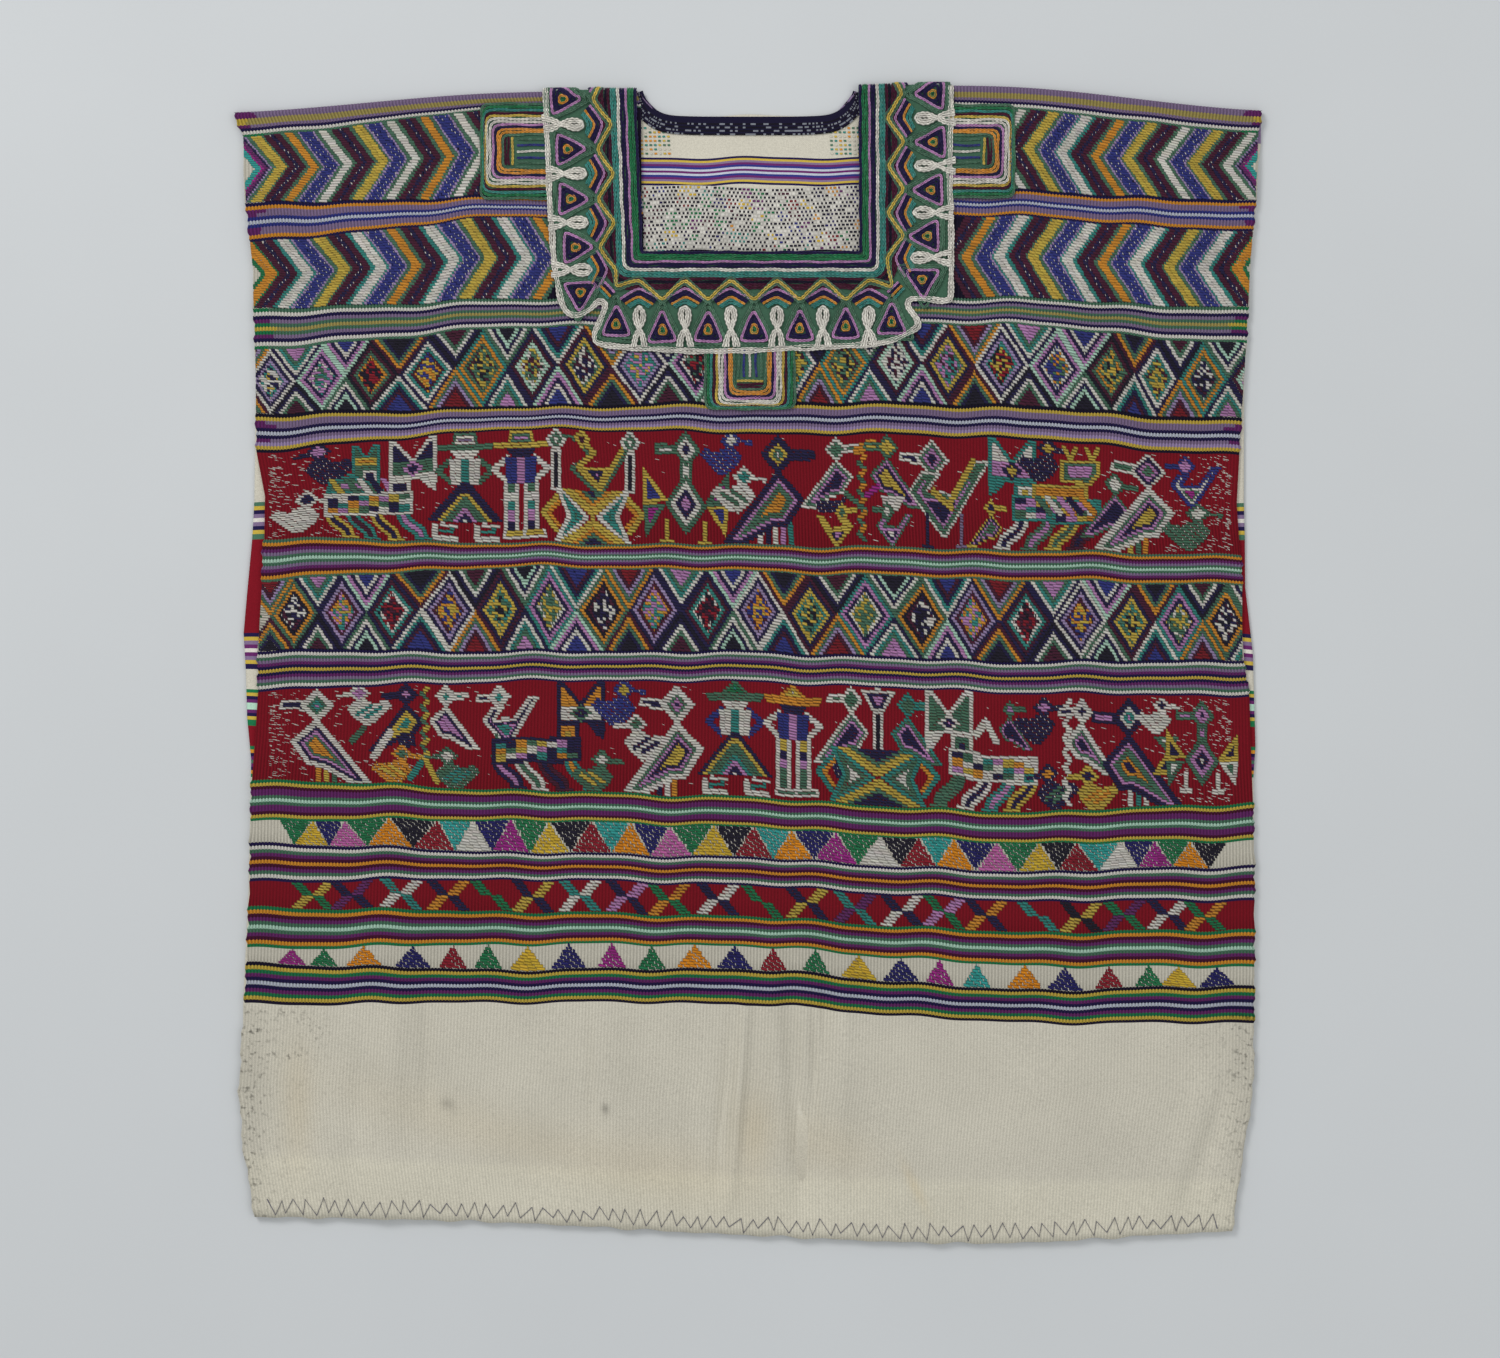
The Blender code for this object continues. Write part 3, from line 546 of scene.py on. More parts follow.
# Soil and wear of the plain cloth, in millimetres. Bands along both side edges: how far in
# they reach, how sharply they end, how grey and how dirty they are.
PLAIN_START, PLAIN_SLOPE, PLAIN_DIRT, SIDE_LINE = 690, 10, 0.10, 378
SIDE_SOIL = ((16, 4, 0.10, 0.0), (17, 4, 0.0, 0.5), (50, 2, 0.0, 0.2))
# Grey spots: across, drop, how far they reach and how dark they are.
SPOTS = ((-347, 717, 20, 0.03), (-226, 768, 4, 0.28), (-221, 771, 3, 0.25),
         (-107, 773, 2.8, 0.6))
# The dirty ring where a wet patch dried.
TideMark = namedtuple("TideMark", "across drop radius width flatness dirt")
TIDE_MARK = TideMark(-347, 717, 24, 5, 1.5, 0.6)
# Ochre stains: across, drop, width, height, how a wide one slopes down to its right, how a tall
# one leans, and how strong they are.
STAINS = ((-190, 790, 110, 20, 0.3, 0.0, 0.07), (-60, 815, 60, 22, 0.2, 0.0, 0.07),
          (-338, 770, 12, 45, 0.0, 0.0, 0.10), (4, 790, 14, 30, 0.0, 0.0, 0.12),
          (60, 800, 40, 22, 0.3, 0.0, 0.07), (125, 830, 4, 16, 0.0, 0.5, 0.15))
# How much an ochre stain takes from green and from blue; how the turned-up cloth differs.
OCHRE_GREEN, OCHRE_BLUE, HEADING_LIGHT, HEADING_WARMTH = 0.35, 0.9, 0.08, 0.02


def soil(x, drop):
    """Soiling of the plain cloth at each point: factors for its colour, and how clean it is."""
    x, drop = np.broadcast_arrays(x / MM, drop / MM)
    plain = ease((drop - PLAIN_START) / PLAIN_SLOPE)
    heading = in_heading(x, drop)
    grey, ochre, dirt = np.zeros(x.shape), np.zeros(x.shape), PLAIN_DIRT * plain
    for side in (-1, 1):
        for reach, sharpness, greyer, dirtier in SIDE_SOIL:
            strength = plain * np.exp(-((SIDE_LINE - side * x) / reach) ** sharpness)
            grey += greyer * strength
            dirt += dirtier * strength
    for across, down, reach, depth in SPOTS:
        grey += depth * np.exp(-(np.hypot(x - across, drop - down) / reach) ** 2)
    away = np.hypot(x - TIDE_MARK.across, (drop - TIDE_MARK.drop) * TIDE_MARK.flatness)
    off_ring = (away - TIDE_MARK.radius) / TIDE_MARK.width
    dirt += TIDE_MARK.dirt * plain * np.exp(-off_ring ** 2)
    for across, down, wide, tall, slope, lean, depth in STAINS:
        beside, below = x - across, drop - down
        ochre += depth * np.exp(-((beside - lean * below) / wide) ** 2
                                - ((below - slope * beside) / tall) ** 2)
    light = 1 + HEADING_LIGHT * heading - grey
    green = light * (1 - OCHRE_GREEN * plain * ochre)
    blue = light * (1 - plain * (OCHRE_BLUE * ochre + HEADING_WARMTH * heading))
    tint = np.clip(np.stack([light, green, blue], axis=-1), 0.3, 1.1)
    return np.concatenate([tint, 1 - np.clip(dirt, 0, 1)[..., None]], axis=-1)


# By weave: how dark the painted shade is on the ribs' crowns and in the grooves between them,
# how high the ribs stand, and how far the weft dips in the grooves.
Ribs = namedtuple("Ribs", "crown groove height dip")
RIBS = {"stripes": Ribs(0.82, 0.38, 1.0, 0.8 * MM), "brocade": Ribs(0.85, 0.55, 1.0, 0.0),
        "plain": Ribs(1.0, 0.80, 0.8, 0.0), "end": Ribs(1.0, 0.80, 1.0, 0.0)}

# The cloth turned in at its sides and hem: how wide it is, and how far down it lies.
TURNED_IN, TURNED_UNDER = 7.0 * MM, WALL - 0.1 * MM
HEM_TURNS = ((0.0, 0.0), (TURNED_UNDER, 0.0), (TURNED_UNDER, TURNED_IN))
HEM_BUMP = 0.8 * MM
SELVEDGE_BUMP = 0.6 * MM     # where the wefts turn back, some tighter than others
SELVEDGE_SHARE = 0.008       # of the width
SELVEDGE_WAVES, HEM_WAVES, HEM_EVENNESS = (2.3, 0.9), (5.3 * MM, 19 * MM), 0.4
FOLD_STEPS = 6
PLAIN_ROWS = {"plain_ground": 20, "hem_heading": 7}

# Near the selvedges some yarns of the upper bands are fresher. The blue-black ground under the
# chevron and diamond floats is painted shade between them, and at its ends it is natural cotton.
FRESHER = ("lv", "ge", "sy")
FRESH_REACH = (8, 20)        # millimetres
BARE_COLUMNS = 14


def front_columns():
    """The front's columns, how far they turn in and under, and where the neck starts and ends."""
    pitch = sizes().rib_pitch / 2
    width = (SIDE_EDGES[0].front_right - SIDE_EDGES[0].front_left) * MM
    ends = (0.0, NECK_LEFT, NECK_RIGHT, 1.0)
    counts = [2 * round(width * (end - start) / pitch / 2) for start, end in zip(ends, ends[1:])]
    shares = [mix(start, end, step / count)
              for start, end, count in zip(ends, ends[1:], counts) for step in range(count)]
    shares = np.array([0.0, 0.0] + shares + [1.0, 1.0, 1.0])
    inward, under = np.zeros(len(shares)), np.zeros(len(shares))
    inward[0], inward[-1] = TURNED_IN, -TURNED_IN
    under[:2] = under[-2:] = TURNED_UNDER
    neck_start = 2 + counts[0]
    return shares, inward, under, neck_start, neck_start + counts[1]


# A row line of the front: its band and place in it, its turn at the fold in degrees, and the
# yarn below it, which under the chevron and diamond floats is a blue-black painted shade.
Line = namedtuple("Line", "band share turn yarn")


def front_rows():
    """The front's row lines, from inside the shoulder fold to under the hem."""
    rows = [Line(0, 0.0, 180.0 * (FOLD_STEPS - step) / FOLD_STEPS, BANDS[0].yarns[0])
            for step in range(FOLD_STEPS)]
    for index, band in enumerate(BANDS[:-1]):
        if band.weave == "brocade":
            middle = NECK_ROW if index == NECK_BAND else 0.5
            # Under the chevron and diamond floats the ground is blue-black: painted shade where it
            # shows between the floats.
            ground = "k" if band.name.endswith(("chevrons", "diamonds")) else band.yarns
            rows += [Line(index, share, 0.0, ground) for share in (0.0, middle)]
        else:
            yarns = band.yarns * PLAIN_ROWS.get(band.name, 1)
            rows += [Line(index, step / len(yarns), 0.0, key) for step, key in enumerate(yarns)]
    return rows + [Line(LAST_BAND - 1, 1.0, 0.0, "u")] * len(HEM_TURNS)


def front_yarns(rows, row, column, columns):
    """The yarn of each face of the front, at its row line and column."""
    yarns = yarn_numbers(line.yarn for line in rows)[row]
    band = np.array([line.band for line in rows])[row]
    fresher = np.arange(len(YARNS))
    for worn, fresh in FRESHER:
        fresher[YARN_KEYS.index(worn)] = YARN_KEYS.index(fresh)
    reach = chance().integers(*FRESH_REACH, len(rows))[row] * MM / (sizes().rib_pitch / 2)
    at_ends = (column < reach) | (column > columns - reach)
    yarns = np.where(at_ends & (band < BAND_NAMES.index("upper_figures")), fresher[yarns], yarns)
    bare = (column < BARE_COLUMNS) | (column > columns - BARE_COLUMNS - 2)
    bare &= (yarns == BLACK) & np.isin(band, BROCADE_BANDS)
    return np.where(bare, GROUND, yarns)


def weave_front():
    """The front cloth, over the shoulder fold and down to the hem."""
    shares, inward, under, neck_start, neck_end = front_columns()
    rows = front_rows()
    groove = np.arange(len(shares)) % 2 == 1
    ridge = np.where(groove, -0.5, 0.5) * sizes().rib_depth
    ridge[:2] = ridge[-2:] = 0
    selvedge = SELVEDGE_BUMP * np.maximum(0, 1 - np.minimum(shares, 1 - shares) / SELVEDGE_SHARE)
    points, tints = [], []
    for number, line in enumerate(rows):
        left, right = row_sides(line.band, line.share)
        uneven = selvedge * sum(math.sin(wave * number) for wave in SELVEDGE_WAVES)
        x = mix(left, right, shares) + uneven * np.sign(shares - 0.5)
        ribs = RIBS[BANDS[line.band].weave]
        if line.turn:
            angle, radius = math.radians(line.turn), ROLL_OUTER + ridge
            y = along(band_edge(0, shares)) + radius * math.sin(angle)
            z = ROLL_OUTER + radius * math.cos(angle)
        else:
            y, z = front_spot(line.band, line.share, x)
            y, z = y - groove * ribs.dip, z + ridge * ribs.height - under
        past_hem = number - (len(rows) - len(HEM_TURNS))
        if past_hem >= 0:
            down, in_again = HEM_TURNS[past_hem]
            short, long = (np.sin(x / wave) for wave in HEM_WAVES)
            bump = HEM_BUMP * short * (HEM_EVENNESS + long)
            y, z = y - bump + in_again, z - down
        points.append(np.column_stack([x + inward, y, z]))
        # Painted shade between the ribs: groove columns darker than crowns, then times the cloth's
        # soil.
        shade = np.where(groove, ribs.groove, ribs.crown)
        shade = np.column_stack([shade, shade, shade, np.ones(len(shade))])
        tints.append(soil(x, SHOULDER_TO_ORIGIN - y) * shade)
    neck_row = [(line.band, line.share) for line in rows].index((NECK_BAND, NECK_ROW))

    def outside_neck(row, column):
        return ~((column >= neck_start) & (column < neck_end) & (row < neck_row))

    faces, row, column = grid_faces(len(rows), len(shares), outside_neck)
    dye = dyes()[front_yarns(rows, row, column, len(shares))]
    dye = np.repeat(clean(dye), 4, axis=0)
    return make_piece("front_cloth", np.concatenate(points), faces,
                      dye * np.concatenate(tints)[faces.ravel()], yarn_dyed("handwoven_cotton"),
                      ["front_panel"], None)


# What shows of the back's inner face: drops in millimetres and the yarns of its stripes.
Stretch = namedtuple("Stretch", "start end yarns")
BACK_STRETCHES = [Stretch(*row) for row in (
    (27, 44, "u"), (44, 58, "u"), (58, 79, "nylvbavabvlyn"), (79, 130, "u"), (130, 318, "u"),
    (318, 345, "gynlwlnyg"), (346, 416, "r"), (416, 442, "nylvwvlyn"), (443, 457, "u"),
    (458, 483, "eynviivnye"), (485, 500, "r"), (500, 523, "eonvgvnoe"), (523, 690, "u"),
    (690, 864, "u"),
)]
BACK_COLUMNS = 300
SCOOP_ROWS = (0.0, 0.15, 0.35, 0.6, 0.85)    # shares down from the fold to the scoop's floor
BACK_RIDGE = 0.08 * MM
BACK_WALL = WALL - 0.15 * MM
SAG_END, SAG_FADE = 140.0 * MM, 110.0 * MM


def back_sag(x, left):
    """How far the back's rows sag past the neck, towards both sides."""
    away = np.clip((np.abs(x) - BACK_NECK_HALF) / (-left - BACK_NECK_HALF), 0, 1)
    return BACK_ROW_SAG * away ** 2


def scoop_row(share, shares):
    """Places across and world Y of a row of the back that runs round the neck scoop."""
    left = side_edge(BACK_NECK_DROP + BACK_ROW_SAG, "back_left")
    x = mix(left, side_edge(BACK_NECK_DROP, "back_right"), shares)
    half = BACK_NECK_HALF + BACK_NECK_FLARE * (1 - share) ** 0.6
    x = np.sign(x) * np.maximum(np.abs(x), half)
    fold = band_edge(0, shares) + GAP
    return x, along(mix(fold, BACK_NECK_DROP + back_sag(x, left), share))


def back_row(drop, shares):
    """Places across and world Y of a row of the back below the neck."""
    left, right = side_edge(drop + BACK_ROW_SAG, "back_left"), side_edge(drop, "back_right")
    x = mix(left, right, shares)
    lowest = mix(band_edge(LAST_BAND, 0.0), band_edge(LAST_BAND, 1.0), shares)
    sag = back_sag(x, left) * ease((SAG_END - drop) / SAG_FADE)
    return x, along(np.minimum(drop + sag, lowest)) + ripple(x, drop + 60 * MM) * 0.8


def weave_back():
    """The back cloth, flat under the front, with its shallow neck scoop."""
    shares = np.linspace(0, 1, BACK_COLUMNS + 1)
    rows = [scoop_row(share, shares) for share in SCOOP_ROWS]
    yarns = "l" * len(SCOOP_ROWS)
    for stretch in BACK_STRETCHES:
        keys = stretch.yarns if len(stretch.yarns) > 1 else stretch.yarns * 2
        yarns += keys
        rows += [back_row(mix(stretch.start, stretch.end, step / len(keys)) * MM, shares)
                 for step in range(len(keys))]
    rows.append(back_row(BACK_STRETCHES[-1].end * MM, shares))
    ridge = np.where(np.arange(len(shares)) % 2, -BACK_RIDGE, BACK_RIDGE)
    points = np.concatenate([np.column_stack([x, y, WALL + ridge]) for x, y in rows])

    def outside_scoop(row, column):
        middle = shares[column] + 0.5 / BACK_COLUMNS - 0.5
        return (np.abs(middle) * PANEL_WIDTH >= BACK_NECK_HALF) | (row >= len(SCOOP_ROWS))

    faces, row, _ = grid_faces(len(rows), len(shares), outside_scoop)
    dye = yarn_colours(yarns)[row]
    tint = soil(points[:, 0], SHOULDER_TO_ORIGIN - points[:, 1])[faces[:, 0]]
    back = make_piece("back_cloth", points, faces, clean(dye) * tint,
                      yarn_dyed("handwoven_cotton"), ["back_panel"], None)
    wall = back.modifiers.new("wall", "SOLIDIFY")
    wall.thickness = BACK_WALL
    wall.offset = -1
    return back


# The brocade's wrong side in the neck, in millimetres: rows of white floats, and the small
# squares at both ends above them.
Rows = namedtuple("Rows", "start end pitch left right column")
WHITE_ROWS = Rows(81.5, 131, 2.8, -110, 110, 3.1)
END_ROWS = Rows(36, 57, 3.2, -84, 84, 3.4)
DOT_KEYS, END_KEYS, END_GAP = "nkknmedtbkrrozve", "gytou", (-60, 62)
# How far the rows slip and sag, how pale their floats are, and which shares of the dots are
# black, woven at all, and long.
ROW_SLIP, ROW_SAG, WHITE_SHADES = 0.4, Wave(1.2, 21, 0.7, None), (0.72, 1.0)
BLACK_DOTS, SHOWN_DOTS, LONG_DOTS = 0.35, 0.82, 0.25
# The pillows that the floats are: half their width, half their height, and how far they rise.
Pillow = namedtuple("Pillow", "half tall rise")
WHITE_PILLOW, SHORT_DOT = Pillow(1.5, 1.35, 0.2), Pillow(0.75, 0.8, 0.42)
LONG_DOT, END_PILLOW = Pillow(1.2, 0.8, 0.42), Pillow(1.0, 0.7, 0.3)


def pillows(across, drop, pillow, colour):
    """Points and dyes, with painted shade, of four-sided pillows at places in millimetres on the
    back.
    """
    half, tall, rise = pillow
    outline = np.array([(-half, -tall), (-half, tall), (half, tall), (half, -tall), (0, 0)])
    flat = (np.stack([across, drop], axis=1)[:, None] + outline).reshape(-1, 2) * MM
    height = WALL + (0.25 + rise * np.array([0.8, 0.8, 0.8, 0.8, 1.5])) * MM
    # Painted shade on a pillow's four edge points, and a painted highlight on its raised middle.
    shade = np.tile([0.8, 0.8, 0.8, 0.8, 1.05], len(across))[:, None]
    return (np.column_stack([flat[:, 0], along(flat[:, 1]), np.tile(height, len(across))]),
            np.repeat(colour, 5, axis=0) * shade)


def lay_reverse_floats():
    """The brocade's wrong side inside the neck: white floats, and dots of the figures' yarns."""
    source = chance()
    # The dots are their own yarns, dyed a fifth darker as painted shade in the gaps between the white
    # floats.
    white, dots = yarn_colours("w"), yarn_colours(DOT_KEYS) * 0.8
    laid = []
    for row, level in enumerate(np.arange(*WHITE_ROWS[:3])):
        across = np.arange(*WHITE_ROWS[3:]) + row % 2 * WHITE_ROWS.column / 2
        across = across + source.uniform(-ROW_SLIP, ROW_SLIP)
        drop = level + ROW_SAG.size * np.sin(across / ROW_SAG.across + ROW_SAG.start)
        laid.append(pillows(across, drop, WHITE_PILLOW,
                            white * source.uniform(*WHITE_SHADES, (len(across), 1))))
        if row % 3 == 0:
            patches = source.integers(0, len(DOT_KEYS), 30).repeat(3)
        pick = np.where(source.random(len(across)) < BLACK_DOTS, 1, patches[:len(across)])
        shown = source.random(len(across)) < SHOWN_DOTS
        long = source.random(len(across)) < LONG_DOTS
        for which, pillow in ((shown & ~long, SHORT_DOT), (shown & long, LONG_DOT)):
            laid.append(pillows(across[which] + WHITE_ROWS.column / 2, drop[which], pillow,
                                dots[pick[which]]))
    for level in np.arange(*END_ROWS[:3]):
        across = np.concatenate([np.arange(END_ROWS.left, END_GAP[0], END_ROWS.column),
                                 np.arange(END_GAP[1], END_ROWS.right, END_ROWS.column)]) + level % 3
        colour = yarn_colours(source.choice(list(END_KEYS), len(across)))
        laid.append(pillows(across, np.full(len(across), level), END_PILLOW, colour))
    points, dye = (np.concatenate(parts) for parts in zip(*laid))
    corner = np.array([(0, 1, 4), (1, 2, 4), (2, 3, 4), (3, 0, 4)])
    faces = (np.arange(len(points) // 5)[:, None, None] * 5 + corner[None]).reshape(-1, 3)
    return make_piece("reverse_floats", points, faces, dye,
                      yarn_dyed("mercerised_cotton_floats"), panel="back")


# ---- brocade

# A chart reaches this many squares to each side. One step of nested outlines is as wide as
# NEST_STEP squares where a figure doesn't say otherwise.
CHART_REACH, NEST_STEP = 520, 4.2


class Chart:
    """A weaving chart of one band: squares across from the middle, and down from its top."""

    def __init__(self, index, height):
        rows = round((band_edge(index + 1, 0.5) - band_edge(index, 0.5)) / sizes().float_pitch)
        self.index = index
        self.across = np.arange(-CHART_REACH, CHART_REACH + 1) + 0.5
        self.down = (np.arange(rows) + 0.5) / rows * height
        self.height = self.down[0] + self.down[-1]
        self.cells = np.full((rows, len(self.across)), BARE)
        self.specked = np.zeros(self.cells.shape, bool)

    def window(self, points, margin=0.0):
        """The part of the chart round some points: its slice, and its squares' places."""
        low, high = points.min(axis=0) - margin, points.max(axis=0) + margin
        part = (slice(*np.searchsorted(self.down, (low[1], high[1]))),
                slice(*np.searchsorted(self.across, (low[0], high[0]))))
        return part, *np.meshgrid(self.across[part[1]], self.down[part[0]])

    def paint(self, part, where, keys, pick):
        """Lay the picked ones of some yarns where a mask is true; capital keys are specked."""
        codes = yarn_numbers(keys.lower())[pick]
        spots = np.array([key.isupper() for key in keys])[pick]
        self.cells[part] = np.where(where, codes, self.cells[part])
        self.specked[part] = np.where(where, spots, self.specked[part])

    def nest(self, keys, *points, step=NEST_STEP):
        """A shape in nested outlines, from its edge inwards, each step squares wide."""
        points = np.array(points, float)
        part, across, down = self.window(points)
        if across.size:
            closed = np.vstack([points, points[:1]])
            depth = (gap_to_line(across, down, closed) / step).astype(int)
            inside = inside_outline(across, down, points)
            self.paint(part, inside, keys, np.minimum(depth, len(keys) - 1))

    def bar(self, key, width, *points):
        """A line of one yarn through some points."""
        points = np.array(points, float)
        part, across, down = self.window(points, width / 2)
        if across.size:
            gap = gap_to_line(across, down, points)
            self.paint(part, gap <= width / 2, key, np.zeros(across.shape, int))


def gap_to_line(across, down, points):
    """Distance of chart squares to a line through some points."""
    gap = np.full(across.shape, np.inf)
    for (x, y), (run, fall) in zip(points, np.diff(points, axis=0)):
        length = run * run + fall * fall + 1e-9
        share = np.clip(((across - x) * run + (down - y) * fall) / length, 0, 1)
        gap = np.minimum(gap, np.hypot(across - x - share * run, down - y - share * fall))
    return gap


def inside_outline(x, drop, outline):
    """Whether places lie inside a closed outline."""
    inside = np.zeros(np.shape(x), bool)
    outline = np.asarray(outline, float)
    for (x1, y1), (x2, y2) in zip(outline, np.roll(outline, -1, axis=0)):
        if y1 != y2:
            edge = x1 + (drop - y1) * ((x2 - x1) / (y2 - y1))
            inside ^= ((y1 > drop) != (y2 > drop)) & (x < edge)
    return inside


# White specks in specked yarns: squares from one to the next, how many they shift on the next
# row, the share that shows, and how full they are.
SPECK_PITCH, SPECK_SHIFT, SPECK_SHARE, SPECK_FULLNESS = 7, 3, 0.8, 0.6
# How unevenly floats start and end, in squares, and how unevenly the longest are tied down.
LEAST_FLOAT, END_SPREAD, KNOT_SPREAD = 0.5 * MM, 0.35, 0.12


def tie_floats(chart):
    """The floats of a chart: row, start and end across in metres, yarn and fullness."""
    source = chance()
    cells = chart.cells.copy()
    row, column = np.indices(cells.shape, sparse=True)
    speck = chart.specked & ((column + SPECK_SHIFT * row) % SPECK_PITCH == 0)
    speck &= source.random(cells.shape) < SPECK_SHARE
    cells[speck] = WHITE
    longest = sizes().longest_float
    floats = []
    for number, line in enumerate(cells):
        left, right = row_sides(chart.index, (number + 0.5) / len(cells))
        changes = np.flatnonzero(np.diff(line)) + 1
        for start, end in zip([0, *changes], [*changes, len(line)]):
            if line[start] == BARE:
                continue
            uneven = source.uniform(-END_SPREAD, END_SPREAD, 2)
            first = (chart.across[start] - 0.5 + uneven[0]) * CHART_SQUARE
            last = (chart.across[end - 1] + 0.5 + uneven[1]) * CHART_SQUARE
            first, last = max(first, left + LEAST_FLOAT), min(last, right - LEAST_FLOAT)
            if last - first < LEAST_FLOAT:
                continue
            fullness = SPECK_FULLNESS if speck[number, start] else 1.0
            count = math.ceil((last - first) / longest)
            nudge = source.uniform(-KNOT_SPREAD, KNOT_SPREAD) * longest if count > 1 else 0.0
            inner = [mix(first, last, step / count) + nudge for step in range(1, count)]
            knots = [first, *inner, last]
            floats += [(number, a, b, line[start], fullness) for a, b in zip(knots, knots[1:])]
    return np.array(floats)


# A float's ten points, in four cross-sections: how far aside of its row and how high each is.
FLOAT_SIDES = np.array([-0.5, 0.5, -0.6, 0, 0.6, -0.6, 0, 0.6, -0.5, 0.5])
FLOAT_RISES = np.array([0.3, 0.3, 0.1, 1, 0.1, 0.1, 1, 0.1, 0.3, 0.3])
FLOAT_FACES = np.array([(1, 3, 0), (1, 4, 3), (0, 3, 2), (4, 7, 6), (4, 6, 3), (3, 6, 5),
                        (3, 5, 2), (7, 9, 6), (6, 9, 8), (6, 8, 5)])
FLOAT_LEAN = 0.35            # of a row, from its start to its end
# Painted highlight along a float's crown, and painted shade at its ends, a little above the groove's.
FLOAT_CROWN_HIGHLIGHT, FLOAT_END_SHADE = 1.1, 0.2
# How far its ends slope, and how far it reaches past them: a share of its length, and at most.
FLOAT_TIP, FLOAT_OVERLAP = (0.3, 0.9 * MM), (0.1, 0.25 * MM)
FLOAT_SWELL, FLOAT_DYE, FLOAT_TINT = (0.85, 1.1), (0.64, 0.88), (0.97, 1.03)


def raise_floats(name, chart, floats, groove):
    """Turn the floats of a chart into rounded satin stitches on the front.

    Groove is how dark the painted shade is where they meet the next row.
    """
    source = chance()
    row, first, last = floats[:, 0], floats[:, 1], floats[:, 2]
    length = last - first
    tip, over = (np.minimum(part * length, most) for part, most in (FLOAT_TIP, FLOAT_OVERLAP))
    places = np.stack([first - over] * 2 + [first + tip] * 3 + [last - tip] * 3
                      + [last + over] * 2, axis=1)
    swell = source.uniform(*FLOAT_SWELL, len(floats))[:, None] * floats[:, 4:5]
    lean = ((places - first[:, None]) / length[:, None] - 0.5) * FLOAT_LEAN
    share = (row[:, None] + 0.5 + FLOAT_SIDES * swell + lean) / len(chart.cells)
    y, z = front_spot(chart.index, share, places)
    points = np.stack([places, y, z + FLOAT_RISES * swell * sizes().float_height], axis=2)
    faces = (np.arange(len(floats))[:, None, None] * 10 + FLOAT_FACES).reshape(-1, 3)
    tint = source.uniform(*FLOAT_DYE, (len(floats), 1))
    tint = tint * source.uniform(*FLOAT_TINT, (len(floats), 3))
    # Painted shade where a float meets the next row and at its ends, painted highlight on its crown.
    end = [groove + FLOAT_END_SHADE] * 2
    shade = np.tile(end + [groove, FLOAT_CROWN_HIGHLIGHT, groove] * 2 + end, len(floats))[:, None]
    dye = np.repeat(dyes()[floats[:, 3].astype(int)] * tint, 10, axis=0) * shade
    return make_piece(name, points.reshape(-1, 3), faces, dye,
                      yarn_dyed("mercerised_cotton_floats"))


# The yarns across each stripe of the chevron bands, from its hollow side to its tip, and the
# runs of stripes: the tips of the first and the last in squares from the middle.
CHEVRON_YARNS = {"violet": "jjjfvvnq", "mustard": "ggyyyyyg", "orange": "ggoooogg",
                 "maroon": "mmmNNmmm", "blue": "qBBBBBBq", "white": "ggwwwwgg",
                 "pearl": "ttwwwwwt", "rim": "eeoooooe"}
ChevronRun = namedtuple("ChevronRun", "band side outer inner stripes")
CHEVRON_RUNS = [ChevronRun(band, side, outer, inner, stripes.split())
                for band, side, outer, inner, stripes in (
    ("upper_chevrons", -1, 476, 205, "violet mustard maroon orange blue white maroon mustard "
                                     "blue white maroon orange blue white maroon mustard blue"),
    ("upper_chevrons", 1, 487, 224, "violet white maroon mustard blue white maroon mustard "
                                    "blue orange maroon pearl blue mustard maroon white blue"),
    ("lower_chevrons", -1, 468, 176, "rim maroon pearl blue mustard maroon pearl blue orange "
                                     "maroon pearl blue mustard maroon pearl blue orange"),
    ("lower_chevrons", 1, 481, 192, "rim maroon pearl blue mustard maroon pearl blue orange "
                                    "maroon pearl blue mustard maroon pearl blue orange maroon"),
)]
UNDER_COLLAR = 180      # squares from the middle that the collar hides in the chevron bands
CHEVRON_TURN = 26       # squares from a stripe's ends to its tip
WHOLE = (slice(None), slice(None))


def chart_chevrons(index, chart):
    """Stripes that turn in the middle of the band, from both ends towards the neck."""
    turn = CHEVRON_TURN * np.abs(2 * chart.down[:, None] / chart.height - 1)
    for run in CHEVRON_RUNS:
        if run.band != BANDS[index].name:
            continue
        pitch = (run.outer - run.inner) / (len(run.stripes) - 1)
        across = chart.across * run.side
        stripe, share = np.divmod((run.outer - across + turn) / pitch + 1, 1)
        for number, name in enumerate(run.stripes):
            chart.paint(WHOLE, (stripe == number) & (across > UNDER_COLLAR),
                        CHEVRON_YARNS[name], (share * 8).astype(int))


DIAMOND_ROWS = {
    "upper_diamonds": ((-525, -478, -426, -378, -320, -265, -216, -164, -108, -52, 0, 48, 95,
                        148, 200, 253, 309, 364, 409, 455, 505),
                       "nlyeuu mnygmm wnqtyy ipnwgg kmgokk nwtmyy togmkk nmiwmm"),
    "lower_diamonds": ((-502, -454, -406, -357, -298, -247, -199, -144, -94, -40, 10, 62, 117,
                        175, 224, 278, 333, 384, 431, 478, 525),
                       "uueeuu tpnwgg gokmkk nqmoyy nmtwmm wnqmyy mnytkk"),
}
BETWEEN_DIAMONDS = "wtnmbb ogqmrr nwtgpp ipnwbb mognkk knwgmm gwnikk".split()
MIDDLE_YARNS = "ygnwtpckobgy"    # two for each diamond of six, mixed in its middle
DIAMOND_STEP, DIAMOND_END, MIDDLE_HALF, MIDDLE_EDGE = 3.9, 26, 24, 0.45


